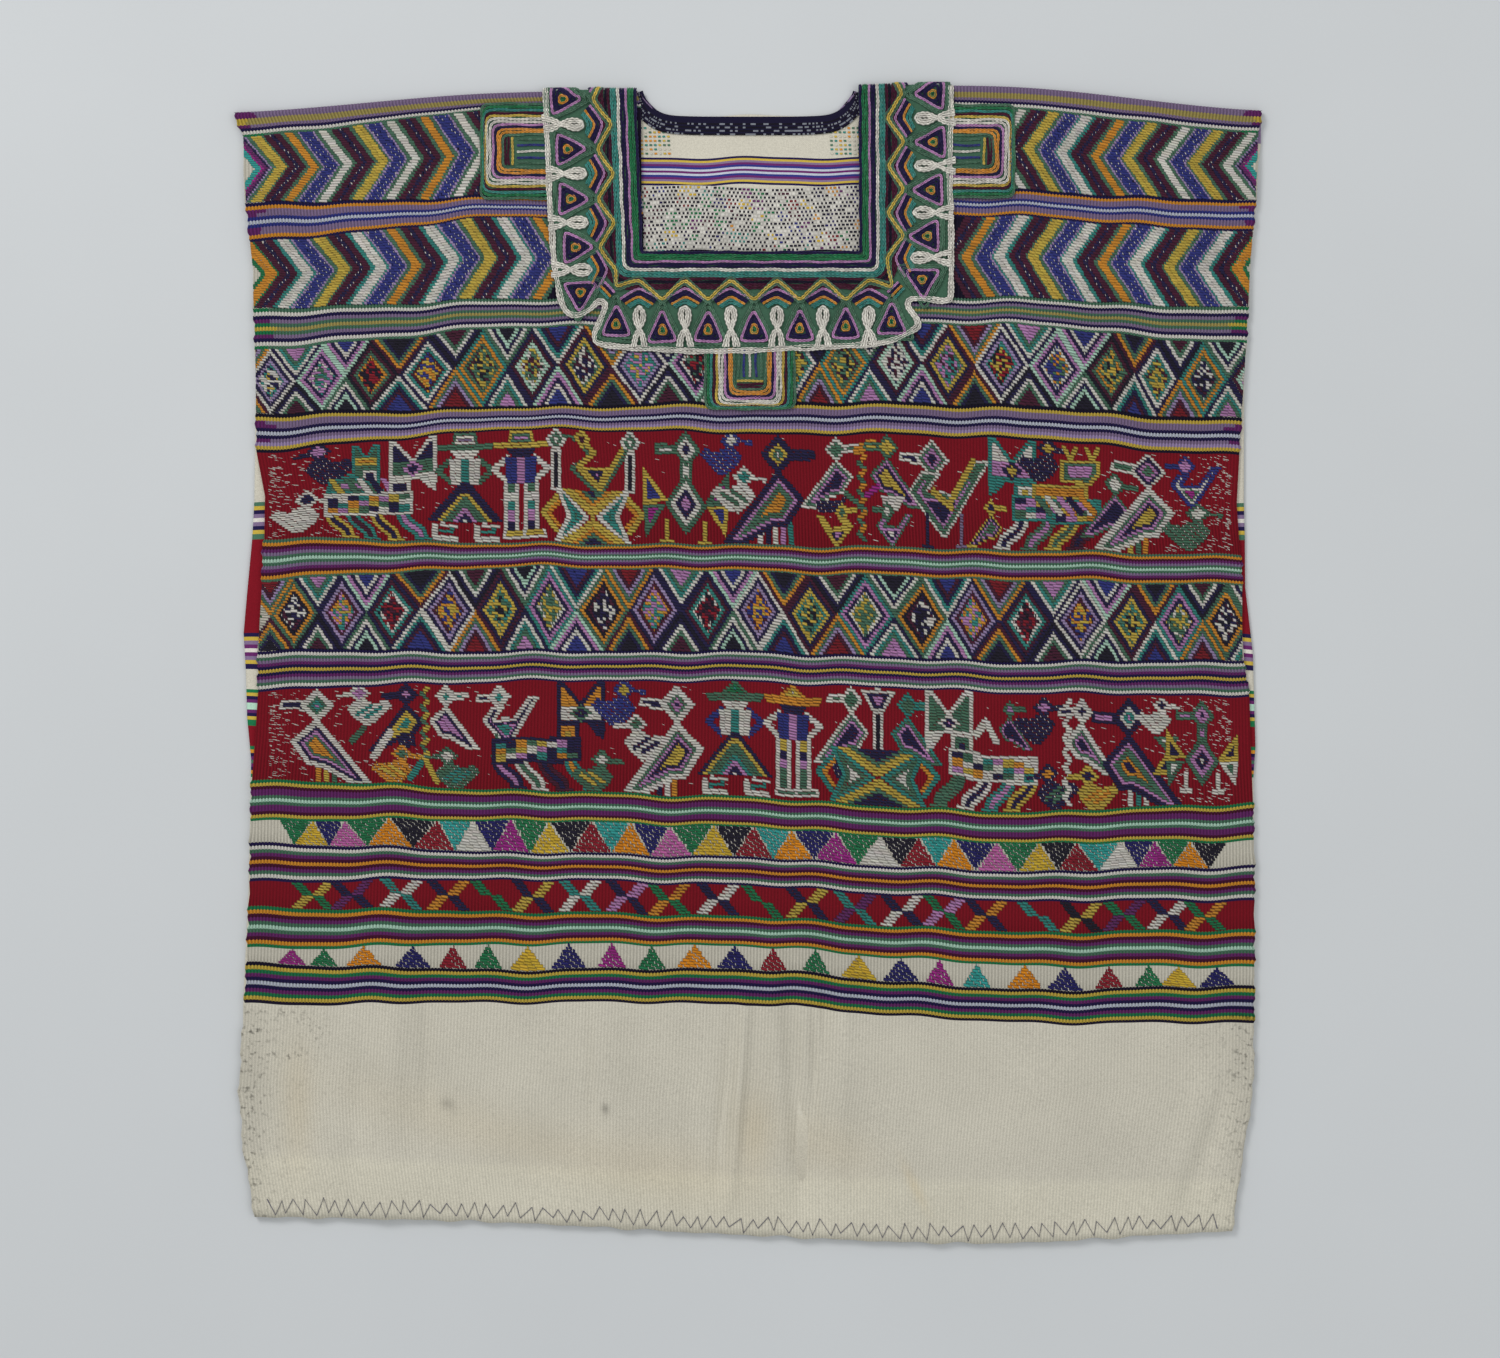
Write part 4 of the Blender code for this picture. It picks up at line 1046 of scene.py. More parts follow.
def chart_diamonds(index, chart):
    """A row of nested diamonds with nested triangles between them."""
    centres, text = DIAMOND_ROWS[BANDS[index].name]
    centres = np.array(centres, float)
    first, *inner = text.split()
    ends = np.concatenate([[centres[0] - DIAMOND_END], (centres[1:] + centres[:-1]) / 2,
                           [centres[-1] + DIAMOND_END]])
    across, down = np.meshgrid(chart.across, np.abs(2 * chart.down / chart.height - 1))
    upper = chart.down[:, None] < chart.height / 2
    for number, centre in enumerate(centres):
        left, right = ends[number:number + 2]
        after = across >= centre
        half = np.where(after, right - centre, centre - left)
        reach = np.abs(across - centre) / half + down
        cell = (across >= left) & (across < right)
        depth = np.minimum((np.abs(1 - reach) * half / DIAMOND_STEP).astype(int), 5)
        keys = inner[number % len(inner)] if number else first
        chart.paint(WHOLE, cell & (reach < 1), keys, depth)
        for shift, where in ((0, upper), (3, ~upper)):
            for side, beside in enumerate((~after, after)):
                keys = BETWEEN_DIAMONDS[(number + side + shift) % len(BETWEEN_DIAMONDS)]
                chart.paint(WHOLE, cell & (reach >= 1) & where & beside, keys, depth)
    rows, columns = chart.cells.shape
    blocks = chance().integers(0, 3, (rows, columns // 3 + 1)).repeat(3, axis=1)[:, :columns]
    nearest = np.abs(across[..., None] - centres).argmin(axis=2)
    middle = (1 - np.abs(across - centres[nearest]) / MIDDLE_HALF - down) > MIDDLE_EDGE
    pairs = 2 * (nearest % 6) + (blocks == 2)
    chart.paint(WHOLE, middle & (blocks > 0), MIDDLE_YARNS, pairs)


# Apexes of the upright triangles in squares from the middle, with their yarns. Some are wide.
TRIANGLE_PITCH, TRIANGLE_HALF, WIDE_HALF, WIDE_TRIANGLES = 38, 15, 19, "XDz"
TRIANGLES = {
    "upper_triangles": ("-435Z -403H -359X -311C -275w -237F -199Z -156C -117X -78H -34Z 6C 44X "
                        "88F 132w 171C 206X 249H 291Z 329C 373w 407F 442X", "D E K J"),
    "lower_triangles": ("-456F -424E -384X -335D -295C -260E -220z -179D -136F -96E -53X -13D "
                        "25C 68E 111z 153D 192F 229J 277X 317D 361C 401E 431z 469D", ""),
}


def chart_triangles(index, chart):
    """A row of small triangles of one yarn each, on the natural ground or on each other."""
    upright, hanging = (text.split() for text in TRIANGLES[BANDS[index].name])
    places = [int(word[:-1]) for word in upright]
    places = [places[0] - TRIANGLE_PITCH, *places, places[-1] + TRIANGLE_PITCH]
    for number, word in enumerate(upright):
        before, across, after = places[number:number + 3]
        key = word[-1]
        reach = WIDE_HALF if key in WIDE_TRIANGLES else TRIANGLE_HALF
        left, right = across - reach, across + reach
        if hanging:
            left, right = mix(across, before, 0.5), mix(across, after, 0.5)
            if not number:
                chart.nest("E", (before + 5, 0), (across - 2, 0), (left, chart.height))
            chart.nest(hanging[number % len(hanging)], (across + 2, 0), (after - 2, 0),
                       (right, chart.height))
        chart.nest(key, (across, 0), (left + 1, chart.height), (right - 1, chart.height))


# The crosses of the interlace: where each stands, and the yarns of its two bars.
INTERLACE = ("-435ey -396nv -347tw -300no -257e. -215ny -168tw -121np -79eo -30nw 14e. 59ny "
             "107tv 154nw 196ep 238no 290t. 333ky 376ev 420nw 457eo")


def chart_interlace(_, chart):
    """Crossed diagonal bars of satin on red."""
    for cross in INTERLACE.split():
        across = int(cross[:-2])
        for key, side in zip(cross[-2:], (-1, 1)):
            if key == ".":
                continue
            for end in (1, -1):
                chart.nest(key, *[(across + side * end * aside, 15 - end * up)
                                  for aside, up in ((21, 14), (10, 14), (0, 1.5), (10, 0.5))])


class Motif:
    """One figure on a chart: its points are squares from its own place, across and down."""

    def __init__(self, chart, across, down, facing=1, size=1.0):
        self.chart = chart
        self.place = np.array((across, down))
        self.scale = size * np.array((facing, 1))

    def nest(self, keys, *points, step=NEST_STEP):
        """A nested shape of the figure."""
        self.chart.nest(keys, *(self.place + self.scale * points), step=step)

    def bar(self, key, width, *points):
        """A line of the figure."""
        self.chart.bar(key, width, *(self.place + self.scale * points))

    def block(self, keys, left, top, right, bottom, step=NEST_STEP):
        """A nested upright rectangle of the figure."""
        self.nest(keys, (left, top), (right, top), (right, bottom), (left, bottom), step=step)

    def taper(self, keys, top_half, top, foot_half, foot, step=NEST_STEP):
        """A nested shape with a level top and foot, alike to both sides of the figure."""
        self.nest(keys, (-top_half, top), (top_half, top), (foot_half, foot), (-foot_half, foot),
                  step=step)

    def diamond(self, keys, across, down, half_width, half_height, step=NEST_STEP):
        """A nested diamond of the figure."""
        self.nest(keys, (across - half_width, down), (across, down - half_height),
                  (across + half_width, down), (across, down + half_height), step=step)


def tall_bird(chart, across, down, beak, tail, head, body, size=1.0, legs=""):
    """A long bird from its head: a diamond head, and a slanting body down to the tail."""
    bird = Motif(chart, across, down, beak, size)
    bird.nest(head[0] + head[-1], (10, -6), (36, -5), (38, 4), (10, 7), step=2.9)
    bird.diamond(head, 0, 0, 18, 20, step=2.9)
    bird = Motif(chart, across, down, -tail, size)
    for number, key in enumerate(legs):
        bird.bar(key, 5, (-16 + 7 * number, 70), (-18 + 8 * number, 90))
    bird.nest(body, (0, 15), (27, 44), (10, 71), (-4, 73), (-36, 93), (-57, 93), (-20, 42),
              step=min(2.9, 3.8 * size))


def small_bird(chart, across, down, facing, keys, size=1.0):
    """A small bird whose body narrows to its feet, its eye in the last of its yarns."""
    bird = Motif(chart, across, down, facing, size)
    bird.bar(keys[0], 4.5, (6, 1), (23, 3))
    bird.nest(keys[0], (-7, 8), (2, 7), (13, 20), (7, 30), (-6, 41), (-16, 39), (-37, 18),
              (-30, 10), (-17, 14))
    if len(keys) > 2:
        bird.bar(keys[1], 4.5, (-24, 19), (-8, 30))
        bird.bar(keys[1], 4.0, (-14, 16), (2, 27))
    bird.diamond(keys[0] + keys[-1], 0, 0, 13, 12, step=3.4)


def vee_bird(chart, across, down, facing, head, body, size=1.0, legs=""):
    """A bird whose body is a V, one arm up to its head and the other to its tail."""
    bird = Motif(chart, across, down, facing, size)
    bird.nest(head[0] + head[-1], (10, -6), (32, -5), (33, 4), (10, 7), step=2.9)
    bird.diamond(head, 0, 0, 17, 20, step=2.9)
    bird.nest(body, (10, 13), (-8, 14), (4, 32), (-12, 31), (-20, 34), (-43, 2), (-58, 2),
              (-15, 75), (-9, 75), (24, 34), step=2.3 if size > 0.8 else 1.9)
    for number, key in enumerate(legs):
        foot = 4 - 34 * number
        bird.bar(key, 3, (foot, 54), (foot, 86))
        bird.bar(key, 3, (foot - 5, 86), (foot + 5, 86))


def eagle(chart, across, down, body, wings, feet, size=1.0):
    """A bird with its wings spread, from its head; each half of a wing has two yarns."""
    figure = Motif(chart, across, down, 1, size)
    figure.nest(body[:2], (-8, -4), (-31, -6), (-31, 6), (-8, 5), step=3.6)
    figure.block(body[:3], -6, 12, 6, 34, step=3)
    figure.diamond(body, 0, 0, 15, 18, step=3.8)
    for side, shoulder, inner, keys in ((-1, 16, 52, wings[:4]), (1, 20, 54, wings[4:])):
        figure.nest(keys[:2], (side * 43, shoulder), (side * 43, 54), (side * 17, inner))
        figure.nest(keys[2:], (side * 43, 54), (side * 20, 54), (side * 40, 86))
    figure.diamond(body, 0, 54, 21, 30)
    for side in (-1, 1):
        figure.bar(feet, 4.5, (side * 19, 70), (side * 19, 90))
        figure.bar(feet, 4.5, (side * 19 - 5, 91), (side * 19 + 5, 91))


HORSE_HIPS = (-83, -61, -37, -10)


def horse(chart, across, down, facing, outline, mane, band, patches, legs):
    """A horse with a banner for a head, a patchwork body and four bent striped legs."""
    figure = Motif(chart, across, down, facing)
    figure.nest(outline, (4, 38), (24, 38), (23, 57), (15, 53))
    figure.nest(outline + mane[0], (-24, 0), (-16, 0), (0, 20), (16, 0), (24, 0), (24, 41),
                (-24, 41), step=3.6)
    figure.block(band[0], -20, 23, 20, 38)
    figure.diamond(band[1:], 0, 30.5, 11, 9, step=3)
    figure.block(outline + mane, -24, 40, -2, 76, step=4)
    for hip, skin, stripe in zip(HORSE_HIPS, legs[::2], legs[1::2]):
        line = ((hip, 82), (hip + 5, 90), (hip + 17, 100), (hip + 19, 106))
        figure.bar(skin, 13, *line)
        figure.bar(stripe, 5, *line)
        figure.bar(skin, 5, (hip + 14, 108), (hip + 27, 108))
    figure.nest(outline, (-89, 58), (0, 54), (0, 79), (-89, 85))
    for number in range(24):
        column, row = divmod(number, 3)
        left, top = -85 + column * 10.2, 61.5 + row * 6.3 - column * 0.6
        key = patches[(number * 5 + row) % len(patches)]
        figure.block(key, left, top, left + 10.4, top + 6.4)


def person(chart, across, down, hat, face, torso, arms, hat_top):
    """The hat, head, body and arms that man and woman share; gives the figure."""
    figure = Motif(chart, across, down)
    figure.taper(face, 15, 17, 7, 28)
    figure.taper(hat[0], 29, 11, 26, 18)
    figure.taper(hat, hat_top, -1, 18 - 0.45 * hat_top, 14, step=2.7)
    for side in (-1, 1):
        figure.bar(arms, 5.5, (side * 14, 27), (side * 27, 38), (side * 14, 50))
    figure.taper(torso[0], 16, 26, 14, 52)
    figure.block(torso[1], -4, 26, 4, 52)
    return figure


def woman(chart, across, down, hat, torso, arms, skirt, shoes, hat_top=2):
    """A woman in a wide skirt of nested triangles."""
    figure = person(chart, across, down, hat, "w", torso, arms, hat_top)
    for middle in (-21, 21):
        figure.bar(shoes[0], 5, (middle - 9, 94), (middle - 9, 107), (middle + 12, 107))
        figure.bar(shoes[1], 3.5, (middle - 4, 101), (middle + 9, 98))
        figure.bar(shoes[0], 4, (middle - 2, 93), (middle + 12, 94))
    for number, key in enumerate(skirt):
        half = 38 - 5 * number
        figure.taper(key, 0.1 * half, 49 + 5.2 * number, half, 90)


def man(chart, across, down, hat, face, torso, arms, trousers, shoes, hat_top=2):
    """A man in trousers that are banded from the waist down."""
    figure = person(chart, across, down, hat, face, torso, arms, hat_top)
    tall = 46 / len(trousers)
    for left, right in ((-17, -2), (3, 18)):
        figure.block("w", left, 51, right, 104)
        for number, key in enumerate(trousers):
            top = 52 + tall * number
            figure.block(key, left + 4, top, right - 4, top + tall)
        figure.bar("w", 9, (left + 3, 103), (right + 4, 103))
        figure.bar(shoes, 4.5, (left + 4, 102), (right + 3, 102))


def pot(chart, across, down, apart, crossing, sides, handles, reach=38):
    """A waisted pot with crossing bands, a handle on each side, and one neck or two apart."""
    figure = Motif(chart, across, down)
    for neck in sorted({-apart, apart}):
        figure.diamond("wgwn", neck, 10, 11, 13, step=3)
        figure.block("wkg", neck - 5, 20, neck + 5, 60, step=3.2)
    for side in (-1, 1):
        figure.bar(handles[0], 5, (side * (reach - 2), 66), (side * (reach + 12), 81),
                   (side * (reach - 2), 99))
        figure.bar(handles[1], 4, (side * (reach - 4), 71), (side * (reach + 6), 81),
                   (side * (reach - 4), 94))
        figure.nest(sides, (side * reach, 56), (side * (reach - 8), 56), (side * 3, 83),
                    (side * (reach - 8), 108), (side * reach, 108), (side * (reach - 12), 83))
    for top in (56, 108):
        for number, key in enumerate(crossing):
            half, tip = reach - 5 - 6.2 * number, mix(83, top, 0.19 * number)
            figure.nest(key, (-half, top), (half, top), (0, tip))


def staff(chart, across, top, bottom, keys):
    """A twisted staff of two yarns."""
    for number in range(round((bottom - top) / 7)):
        down = top + 7 * number
        swing = 3 if number % 2 else -3
        chart.bar(keys[number % 2], 4.5, (across - swing, down), (across + swing, down + 7))


# Worn spots in the red bands: how many, how far from the middle the last ones are, how they
# gather at both ends and which share does, how long in millimetres and how full they are.
FLECKS, FLECK_LIMIT, FLECK_SPREAD, FLECK_REACH, FLECKS_AT_ENDS = 900, 480, (0.7, 4.0), 330, 0.75
FLECK_LENGTHS, FLECK_FULLNESS, FLECK_SQUARES = (1.0, 3.6), (0.2, 0.4), 3


def scatter_flecks(chart):
    """Worn spots where the white warp shows through, most of them near both ends."""
    source = chance()
    rows, columns = chart.cells.shape
    away = source.beta(*FLECK_SPREAD, FLECKS) * FLECK_REACH
    at_ends = source.random(FLECKS) < FLECKS_AT_ENDS
    across = np.where(at_ends, (FLECK_LIMIT - away) * source.choice((-1, 1), FLECKS),
                      source.uniform(-FLECK_LIMIT, FLECK_LIMIT, FLECKS))
    row = source.uniform(0.3, rows - 0.8, FLECKS)
    column = np.clip((across - chart.across[0]).astype(int), 0, columns - FLECK_SQUARES - 1)
    ends = np.stack([column, column + FLECK_SQUARES])
    bare = (chart.cells[row.astype(int), ends] == BARE).all(axis=0)
    length = source.uniform(*FLECK_LENGTHS, FLECKS) * MM
    flecks = np.stack([row, across * CHART_SQUARE, across * CHART_SQUARE + length,
                       np.full(FLECKS, WHITE),
                       source.uniform(*FLECK_FULLNESS, FLECKS)], axis=1)
    return flecks[bare]


def rider(chart, across, down):
    """A rider's banner over a patched saddle cloth."""
    figure = Motif(chart, across, down)
    figure.nest("tg", (-14, 0), (-8, 0), (0, 13), (8, 0), (14, 0), (14, 50), (-14, 50), step=3)
    figure.block("yo", -11, 14, 11, 24, step=3)
    figure.block("wn", -3, 29, 11, 42, step=3)
    figure.nest("tgpn", (-38, 42), (-16, 32), (14, 46), (24, 58), (-40, 56), step=4)
    for spot, key in zip((-34, -18, -6, 6, 18, 30), "ygwnpt"):
        figure.bar(key, 6, (spot, 40), (spot + 12, 58))


def beast(chart, across, down):
    """A horned beast, facing out of the cloth, with a striped back."""
    figure = Motif(chart, across, down)
    for side in (-14, 8):
        figure.bar("y", 4, (side, 0), (side + 6, 14), (side + 12, 0))
    figure.nest("ygp", (-18, 12), (22, 12), (22, 28), (12, 40), (-18, 36), step=4)
    figure.block("yogtk", -46, 38, 10, 54, step=4)
    for spot, key in zip((-40, -30, -18, -9, 4), "gwpno"):
        figure.bar(key, 6, (spot, 54), (spot + 12, 68))


def pot_bird(chart, across, down):
    """A curled bird that sits in a pot."""
    bird = Motif(chart, across, down)
    bird.bar("g", 4, (-30, -5), (-16, -3), (-4, 12), (-22, 26), (6, 50), (32, 8))
    bird.bar("y", 5, (-13, -3), (0, 8), (-16, 24), (6, 44), (28, 6))
    bird.nest("ynp", (-14, 24), (16, 22), (5, 42), step=3.4)
    bird.diamond("ym", -12, -4, 9, 10, step=4)


def patch(chart, keys, step, *points):
    """A nested shape of its own."""
    chart.nest(keys, *points, step=step)


def bar(chart, key, width, *points):
    """A line of its own."""
    chart.bar(key, width, *points)


FIGURE_MAKERS = {maker.__name__: maker for maker in (
    tall_bird, small_bird, vee_bird, eagle, horse, woman, man, pot, staff, rider, beast, pot_bird,
    patch, bar)}
# The figures of the two red bands, from left to right. Each row names one of the functions
# above and gives what it asks for after the chart: numbers, points as two numbers, yarns.
FIGURES = {"upper_figures": """
small_bird -441 64 1 wn
small_bird -430 7 -1 Np
rider -382 3
horse -335 1 1 w nnp gpnn ngypotnw yntmyntp
woman -283 0 gwlp wt g nnyggpnw wt 11
man -227 0 ygpp n bp w gwtpn y 11
pot -155 1 37 yyogn wtgpn yo
pot_bird -154 12
eagle -62 18 gwnp ybgfgfyb y
small_bird -17 6 1 Bw 0.85
small_bird -4 43 1 wgt 0.9
tall_bird 30 20 1 -1 nnygwn nnpggoon 1 wnwpt
tall_bird 88 13 1 -1 wg wgpnn 0.64
patch N 9 68,64 98,62 94,76 70,76
bar g 5 98,58 118,76
vee_bird 94 76 1 yg yynp 0.46
staff 114 22 108 og
bar o 10 110,16 124,10
tall_bird 139 13 -1 1 gy gpny 0.64
patch w 9 132,60 158,60 150,74 138,74
bar f 5 118,62 130,52
vee_bird 139 76 -1 gw gpnwn 0.46
vee_bird 184 22 -1 wgpn wggpnn 1 nl
bar y 6 225,24 203,62
bar y 7 186,54 203,68
tall_bird 243 70 1 -1 yn ynpg 0.42
horse 264 1 -1 t wyk pnyn tnpyogwp mnyggpwn
small_bird 300 7 1 Ny 0.85
beast 330 4
tall_bird 367 40 1 -1 gw gpnn 0.62
tall_bird 400 21 -1 -1 wnpg wwgpnyyn 1 ygo
vee_bird 437 14 -1 bp bbwgf 0.62
small_bird 450 66 1 Gw
""", "lower_figures": """
tall_bird -431 20 -1 1 wwgtpn wwnpgo 1 gyo
small_bird -389 7 -1 wtp 0.9
bar g 6 -396,62 -384,46
tall_bird -342 12 -1 -1 nnpn nnyyt 0.66
bar w 8 -374,80 -358,54
patch N 9 -350,62 -334,56 -332,68 -348,74
small_bird -346 78 1 Oyg 0.85
staff -323 4 80 yg
bar t 6 -323,80 -338,104
bar y 6 -323,80 -311,104
tall_bird -302 12 1 1 wwt wwnp 0.62
small_bird -301 76 -1 Gtw 0.9
vee_bird -249 15 -1 wwtgn wwnpt 0.7 G
horse -167 1 1 n oyt wgng tnpwygon npwgmnto
small_bird -124 8 1 By 0.9
small_bird -146 78 1 gyw 0.85
small_bird -112 42 -1 wng 0.9
tall_bird -71 21 -1 -1 wwgpn wwgpnyy 1 nwo
woman -13 1 getpn wt b nyggtpnw wt
man 45 1 oyutp n bp w ynpgg g
tall_bird 103 13 -1 -1 wg wgpn 0.66
patch N 9 84,74 108,66 104,84 88,88
pot 130 1 0 yygn tgwpn to 48
patch wnpt 3.4 112,2 148,2 136,22 124,22
tall_bird 160 15 1 1 tg tgpn 0.62
horse 201 1 -1 w gnp gwnp wngwtpyo yntpwngg
bar w 6 228,40 238,26 248,44
tall_bird 262 14 1 1 gp gpn 0.42
small_bird 296 12 1 Np 0.85
small_bird 300 76 -1 Ngo 0.85
staff 319 8 106 ww
tall_bird 334 18 -1 1 wwn wwgpn 0.64
small_bird 340 78 -1 yon 0.85
tall_bird 381 22 -1 1 nnwtp nnpggon 1 wtw
small_bird 414 10 1 wn 0.7
patch gw 4 404,40 432,40 420,58
patch yn 4 418,58 404,80 432,78
eagle 454 20 gpnw yngwynwg w 0.84
"""}


def read_word(word):
    """What a word of a figure's row stands for: yarn keys, a number or a point."""
    if word[0].isalpha():
        return word
    numbers = [float(part) for part in word.split(",")]
    return numbers if len(numbers) > 1 else numbers[0]


def chart_figures(index, chart):
    """Birds, horses, people and pots on red."""
    for row in FIGURES[BANDS[index].name].split("\n"):
        if row:
            name, *words = row.split()
            FIGURE_MAKERS[name](chart, *[read_word(word) for word in words])


# How dark the painted shade in the grooves between rows of floats is, and how full the floats are.
Floats = namedtuple("Floats", "groove fullness")
FLOATS = {"chevrons": Floats(0.38, 1.0), "diamonds": Floats(0.15, 1.0),
          "figures": Floats(0.05, 0.95), "triangles": Floats(0.20, 1.0),
          "interlace": Floats(0.06, 0.92)}
CHART_HEIGHTS = {"chevrons": 84, "diamonds": 78, "figures": 110, "triangles": 28, "interlace": 30}


def under_collar(index, chart, floats):
    """Which floats lie wholly under the collar, well inside its edge cord."""
    outline = [(x * 0.95, drop - 5) for x, drop in EDGE_CORD_ROUTE]
    share = (floats[:, 0] + 0.5) / len(chart.cells)
    inside = np.ones(len(floats), bool)
    for x in (floats[:, 1], floats[:, 2]):
        drop = drop_at(index, share, share_across(x))
        inside &= inside_outline(x / MM, drop / MM, outline)
    return inside


def brocade_front():
    """All brocade of the front, one piece for each band."""
    kinds = {"chevrons": chart_chevrons, "diamonds": chart_diamonds, "figures": chart_figures,
             "triangles": chart_triangles, "interlace": chart_interlace}
    for index in BROCADE_BANDS:
        band = BANDS[index]
        kind = band.name.split("_")[-1]
        chart = Chart(index, CHART_HEIGHTS[kind])
        kinds[kind](index, chart)
        floats = tie_floats(chart)
        if kind == "figures":
            floats = np.concatenate([floats, scatter_flecks(chart)])
        floats = floats[~under_collar(index, chart, floats)]
        floats[:, 4] *= FLOATS[kind].fullness
        raise_floats("brocade_" + band.name, chart, floats, FLOATS[kind].groove)


# ---- chain stitch

# A row of chain stitch: its path and the cloth's normals along it, its yarn and its width.
Row = namedtuple("Row", "path normals yarn width")

# Each link of chain stitch has four steps, and the rows drift in two waves of these lengths.
LINK_STEPS, DRIFT, DRIFT_LENGTHS = 4, 0.26 * MM, (7.3 * MM, 3.4 * MM)
# Painted shade in both grooves of a ply, and a painted highlight on its crown.
PLY_SHADES = np.array([0.38, 1.34, 0.38])    # both grooves and the crown of a ply
# How far aside and how high a ply lies, at least and what is added as the link swells, and half
# its own width, as shares of the row's width; and how much lower its feet lie.
PLY_ASIDE, PLY_HEIGHT, PLY_HALF, PLY_SINK = (0.10, 0.17), (0.34, 0.10), 0.25, 0.15 * MM
OVER_FOLD = ROLL_OUTER * math.radians(95)    # how far past the fold stitches still lie

# Rubbed stitches show pale broken fibres: their colour, how much they cover, a patch's points.
FLUFF, WORN_CHAIN, WORN_PATCH = np.array([0.50, 0.50, 0.44]), 0.16, 6


def reach_along(line):
    """How far along a line each of its points lies."""
    return np.concatenate([[0], np.cumsum(np.linalg.norm(np.diff(line, axis=0), axis=1))])


def places_at(line, reach, spots):
    """Places on a line at some distances along it."""
    return np.column_stack([np.interp(spots, reach, column) for column in line.T])


def soften(points, radius, closed=False):
    """Round the corners of a line of points."""
    points = [np.asarray(point, float) for point in points]
    count = len(points)
    rounded = [] if closed else [points[0]]
    for number in range(count) if closed else range(1, count - 1):
        corner = points[number]
        start, end = (mix(corner, other, min(radius / (np.linalg.norm(other - corner) + 1e-9), 0.5))
                      for other in (points[number - 1], points[(number + 1) % count]))
        for share in np.linspace(0, 1, 5):
            rounded.append((1 - share) ** 2 * start + 2 * share * (1 - share) * corner
                           + share ** 2 * end)
    rounded.append(rounded[0] if closed else points[-1])
    return np.array(rounded)


def on_front(points, lift):
    """Lay a line of places (across, drop) on the front, lifted off its face, with its normals."""
    x, drop = points[:, 0], points[:, 1]
    fold = band_edge(0, share_across(x))
    radius = surface_height(x, np.maximum(drop, fold)) + lift - ROLL_OUTER
    angle = np.clip((fold - drop) / ROLL_OUTER, 0, math.radians(100))
    path = np.column_stack([x, along(np.maximum(drop, fold)) + radius * np.sin(angle),
                            ROLL_OUTER + radius * np.cos(angle)])
    return path, np.column_stack([np.zeros(len(x)), np.sin(angle), np.cos(angle)])


def stitched(places, key, width, lift=1.6 * MM):
    """A row of chain stitch through places on the front, ending just over its fold."""
    places = np.asarray(places, float)
    reach = reach_along(places)
    count = max(2, round(reach[-1] / (0.8 * MM)))
    places = places_at(places, reach, np.linspace(0, reach[-1], count))
    over = band_edge(0, share_across(places[:, 0])) - places[:, 1]
    return Row(*on_front(places[over < OVER_FOLD], lift), key, width)


def chain_row(row, source):
    """Points, faces and painted-shade tints of one row of chain stitch: two plies that part in each
    link.
    """
    reach = reach_along(row.path)
    links = max(2, round(reach[-1] / (sizes().chain_pitch * row.width ** 0.35)))
    spots = np.linspace(0, reach[-1], links * LINK_STEPS + 1)
    path, up = places_at(row.path, reach, spots), places_at(row.normals, reach, spots)
    up /= np.linalg.norm(up, axis=1)[:, None]
    ahead = np.gradient(path, axis=0)
    ahead /= np.linalg.norm(ahead, axis=1)[:, None] + 1e-12
    aside = np.cross(ahead, up)
    width = row.width * sizes().chain_width
    drift = sum(np.sin(spots / length + source.uniform(0, 6)) for length in DRIFT_LENGTHS)
    path = path + aside * (DRIFT * drift)[:, None]
    phase = np.arange(len(spots)) % LINK_STEPS / LINK_STEPS
    swell = np.sin(math.pi * (phase + 0.06) ** 0.7)[:, None]
    shade = np.repeat(source.uniform(0.82, 1.20, links + 1), LINK_STEPS)[:len(spots), None]
    # Painted shade and highlight: dark grooves, light crowns, and each link darker where it narrows.
    tint = (shade * PLY_SHADES * (0.58 + 0.42 * swell)).reshape(-1, 1)
    points = []
    for side in (-1, 1):
        middle = path + aside * side * width * (PLY_ASIDE[0] + PLY_ASIDE[1] * swell)
        crown = middle + up * width * (PLY_HEIGHT[0] + PLY_HEIGHT[1] * swell)
        foot = middle - up * PLY_SINK
        points += [foot - aside * width * PLY_HALF, crown, foot + aside * width * PLY_HALF]
    plies = [np.stack(points[:3], axis=1), np.stack(points[3:], axis=1)]
    step, column = np.meshgrid(np.arange(len(spots) - 1), np.arange(2), indexing="ij")
    corner = step.ravel() * 3 + column.ravel()
    corner = np.concatenate([corner, corner + len(spots) * 3])
    faces = np.column_stack([corner, corner + 1, corner + 4, corner + 3])
    return np.concatenate(plies).reshape(-1, 3), faces, np.concatenate([tint, tint])


def chain_stitch(name, rows, replaced=(), ground=None):
    """Work rows of chain stitch, with the stitched ground below them, as one piece."""
    source = chance()
    points, faces, dye = ([part] for part in ground) if ground else ([], [], [])
    start = sum(len(part) for part in points)
    for row in rows:
        if len(row.path) < 4:      # all of it lies past the fold
            continue
        spots, corners, tint = chain_row(row, source)
        points.append(spots)
        faces.append(corners + start)
        colour = yarn_colours(row.yarn)[0]
        worn = WORN_CHAIN * min(1.0, 5 * colour.mean())
        patches = np.repeat(source.random(len(tint) // WORN_PATCH + 1), WORN_PATCH)
        # The tint brings in the plies' painted shade and highlight.
        dye.append(mix(colour, FLUFF, worn * patches[:len(tint), None]) * tint)
        start += len(spots)
    return make_piece(name, np.concatenate(points), np.concatenate(faces), np.concatenate(dye),
                      yarn_dyed("chain_stitched_cotton"), replaced)


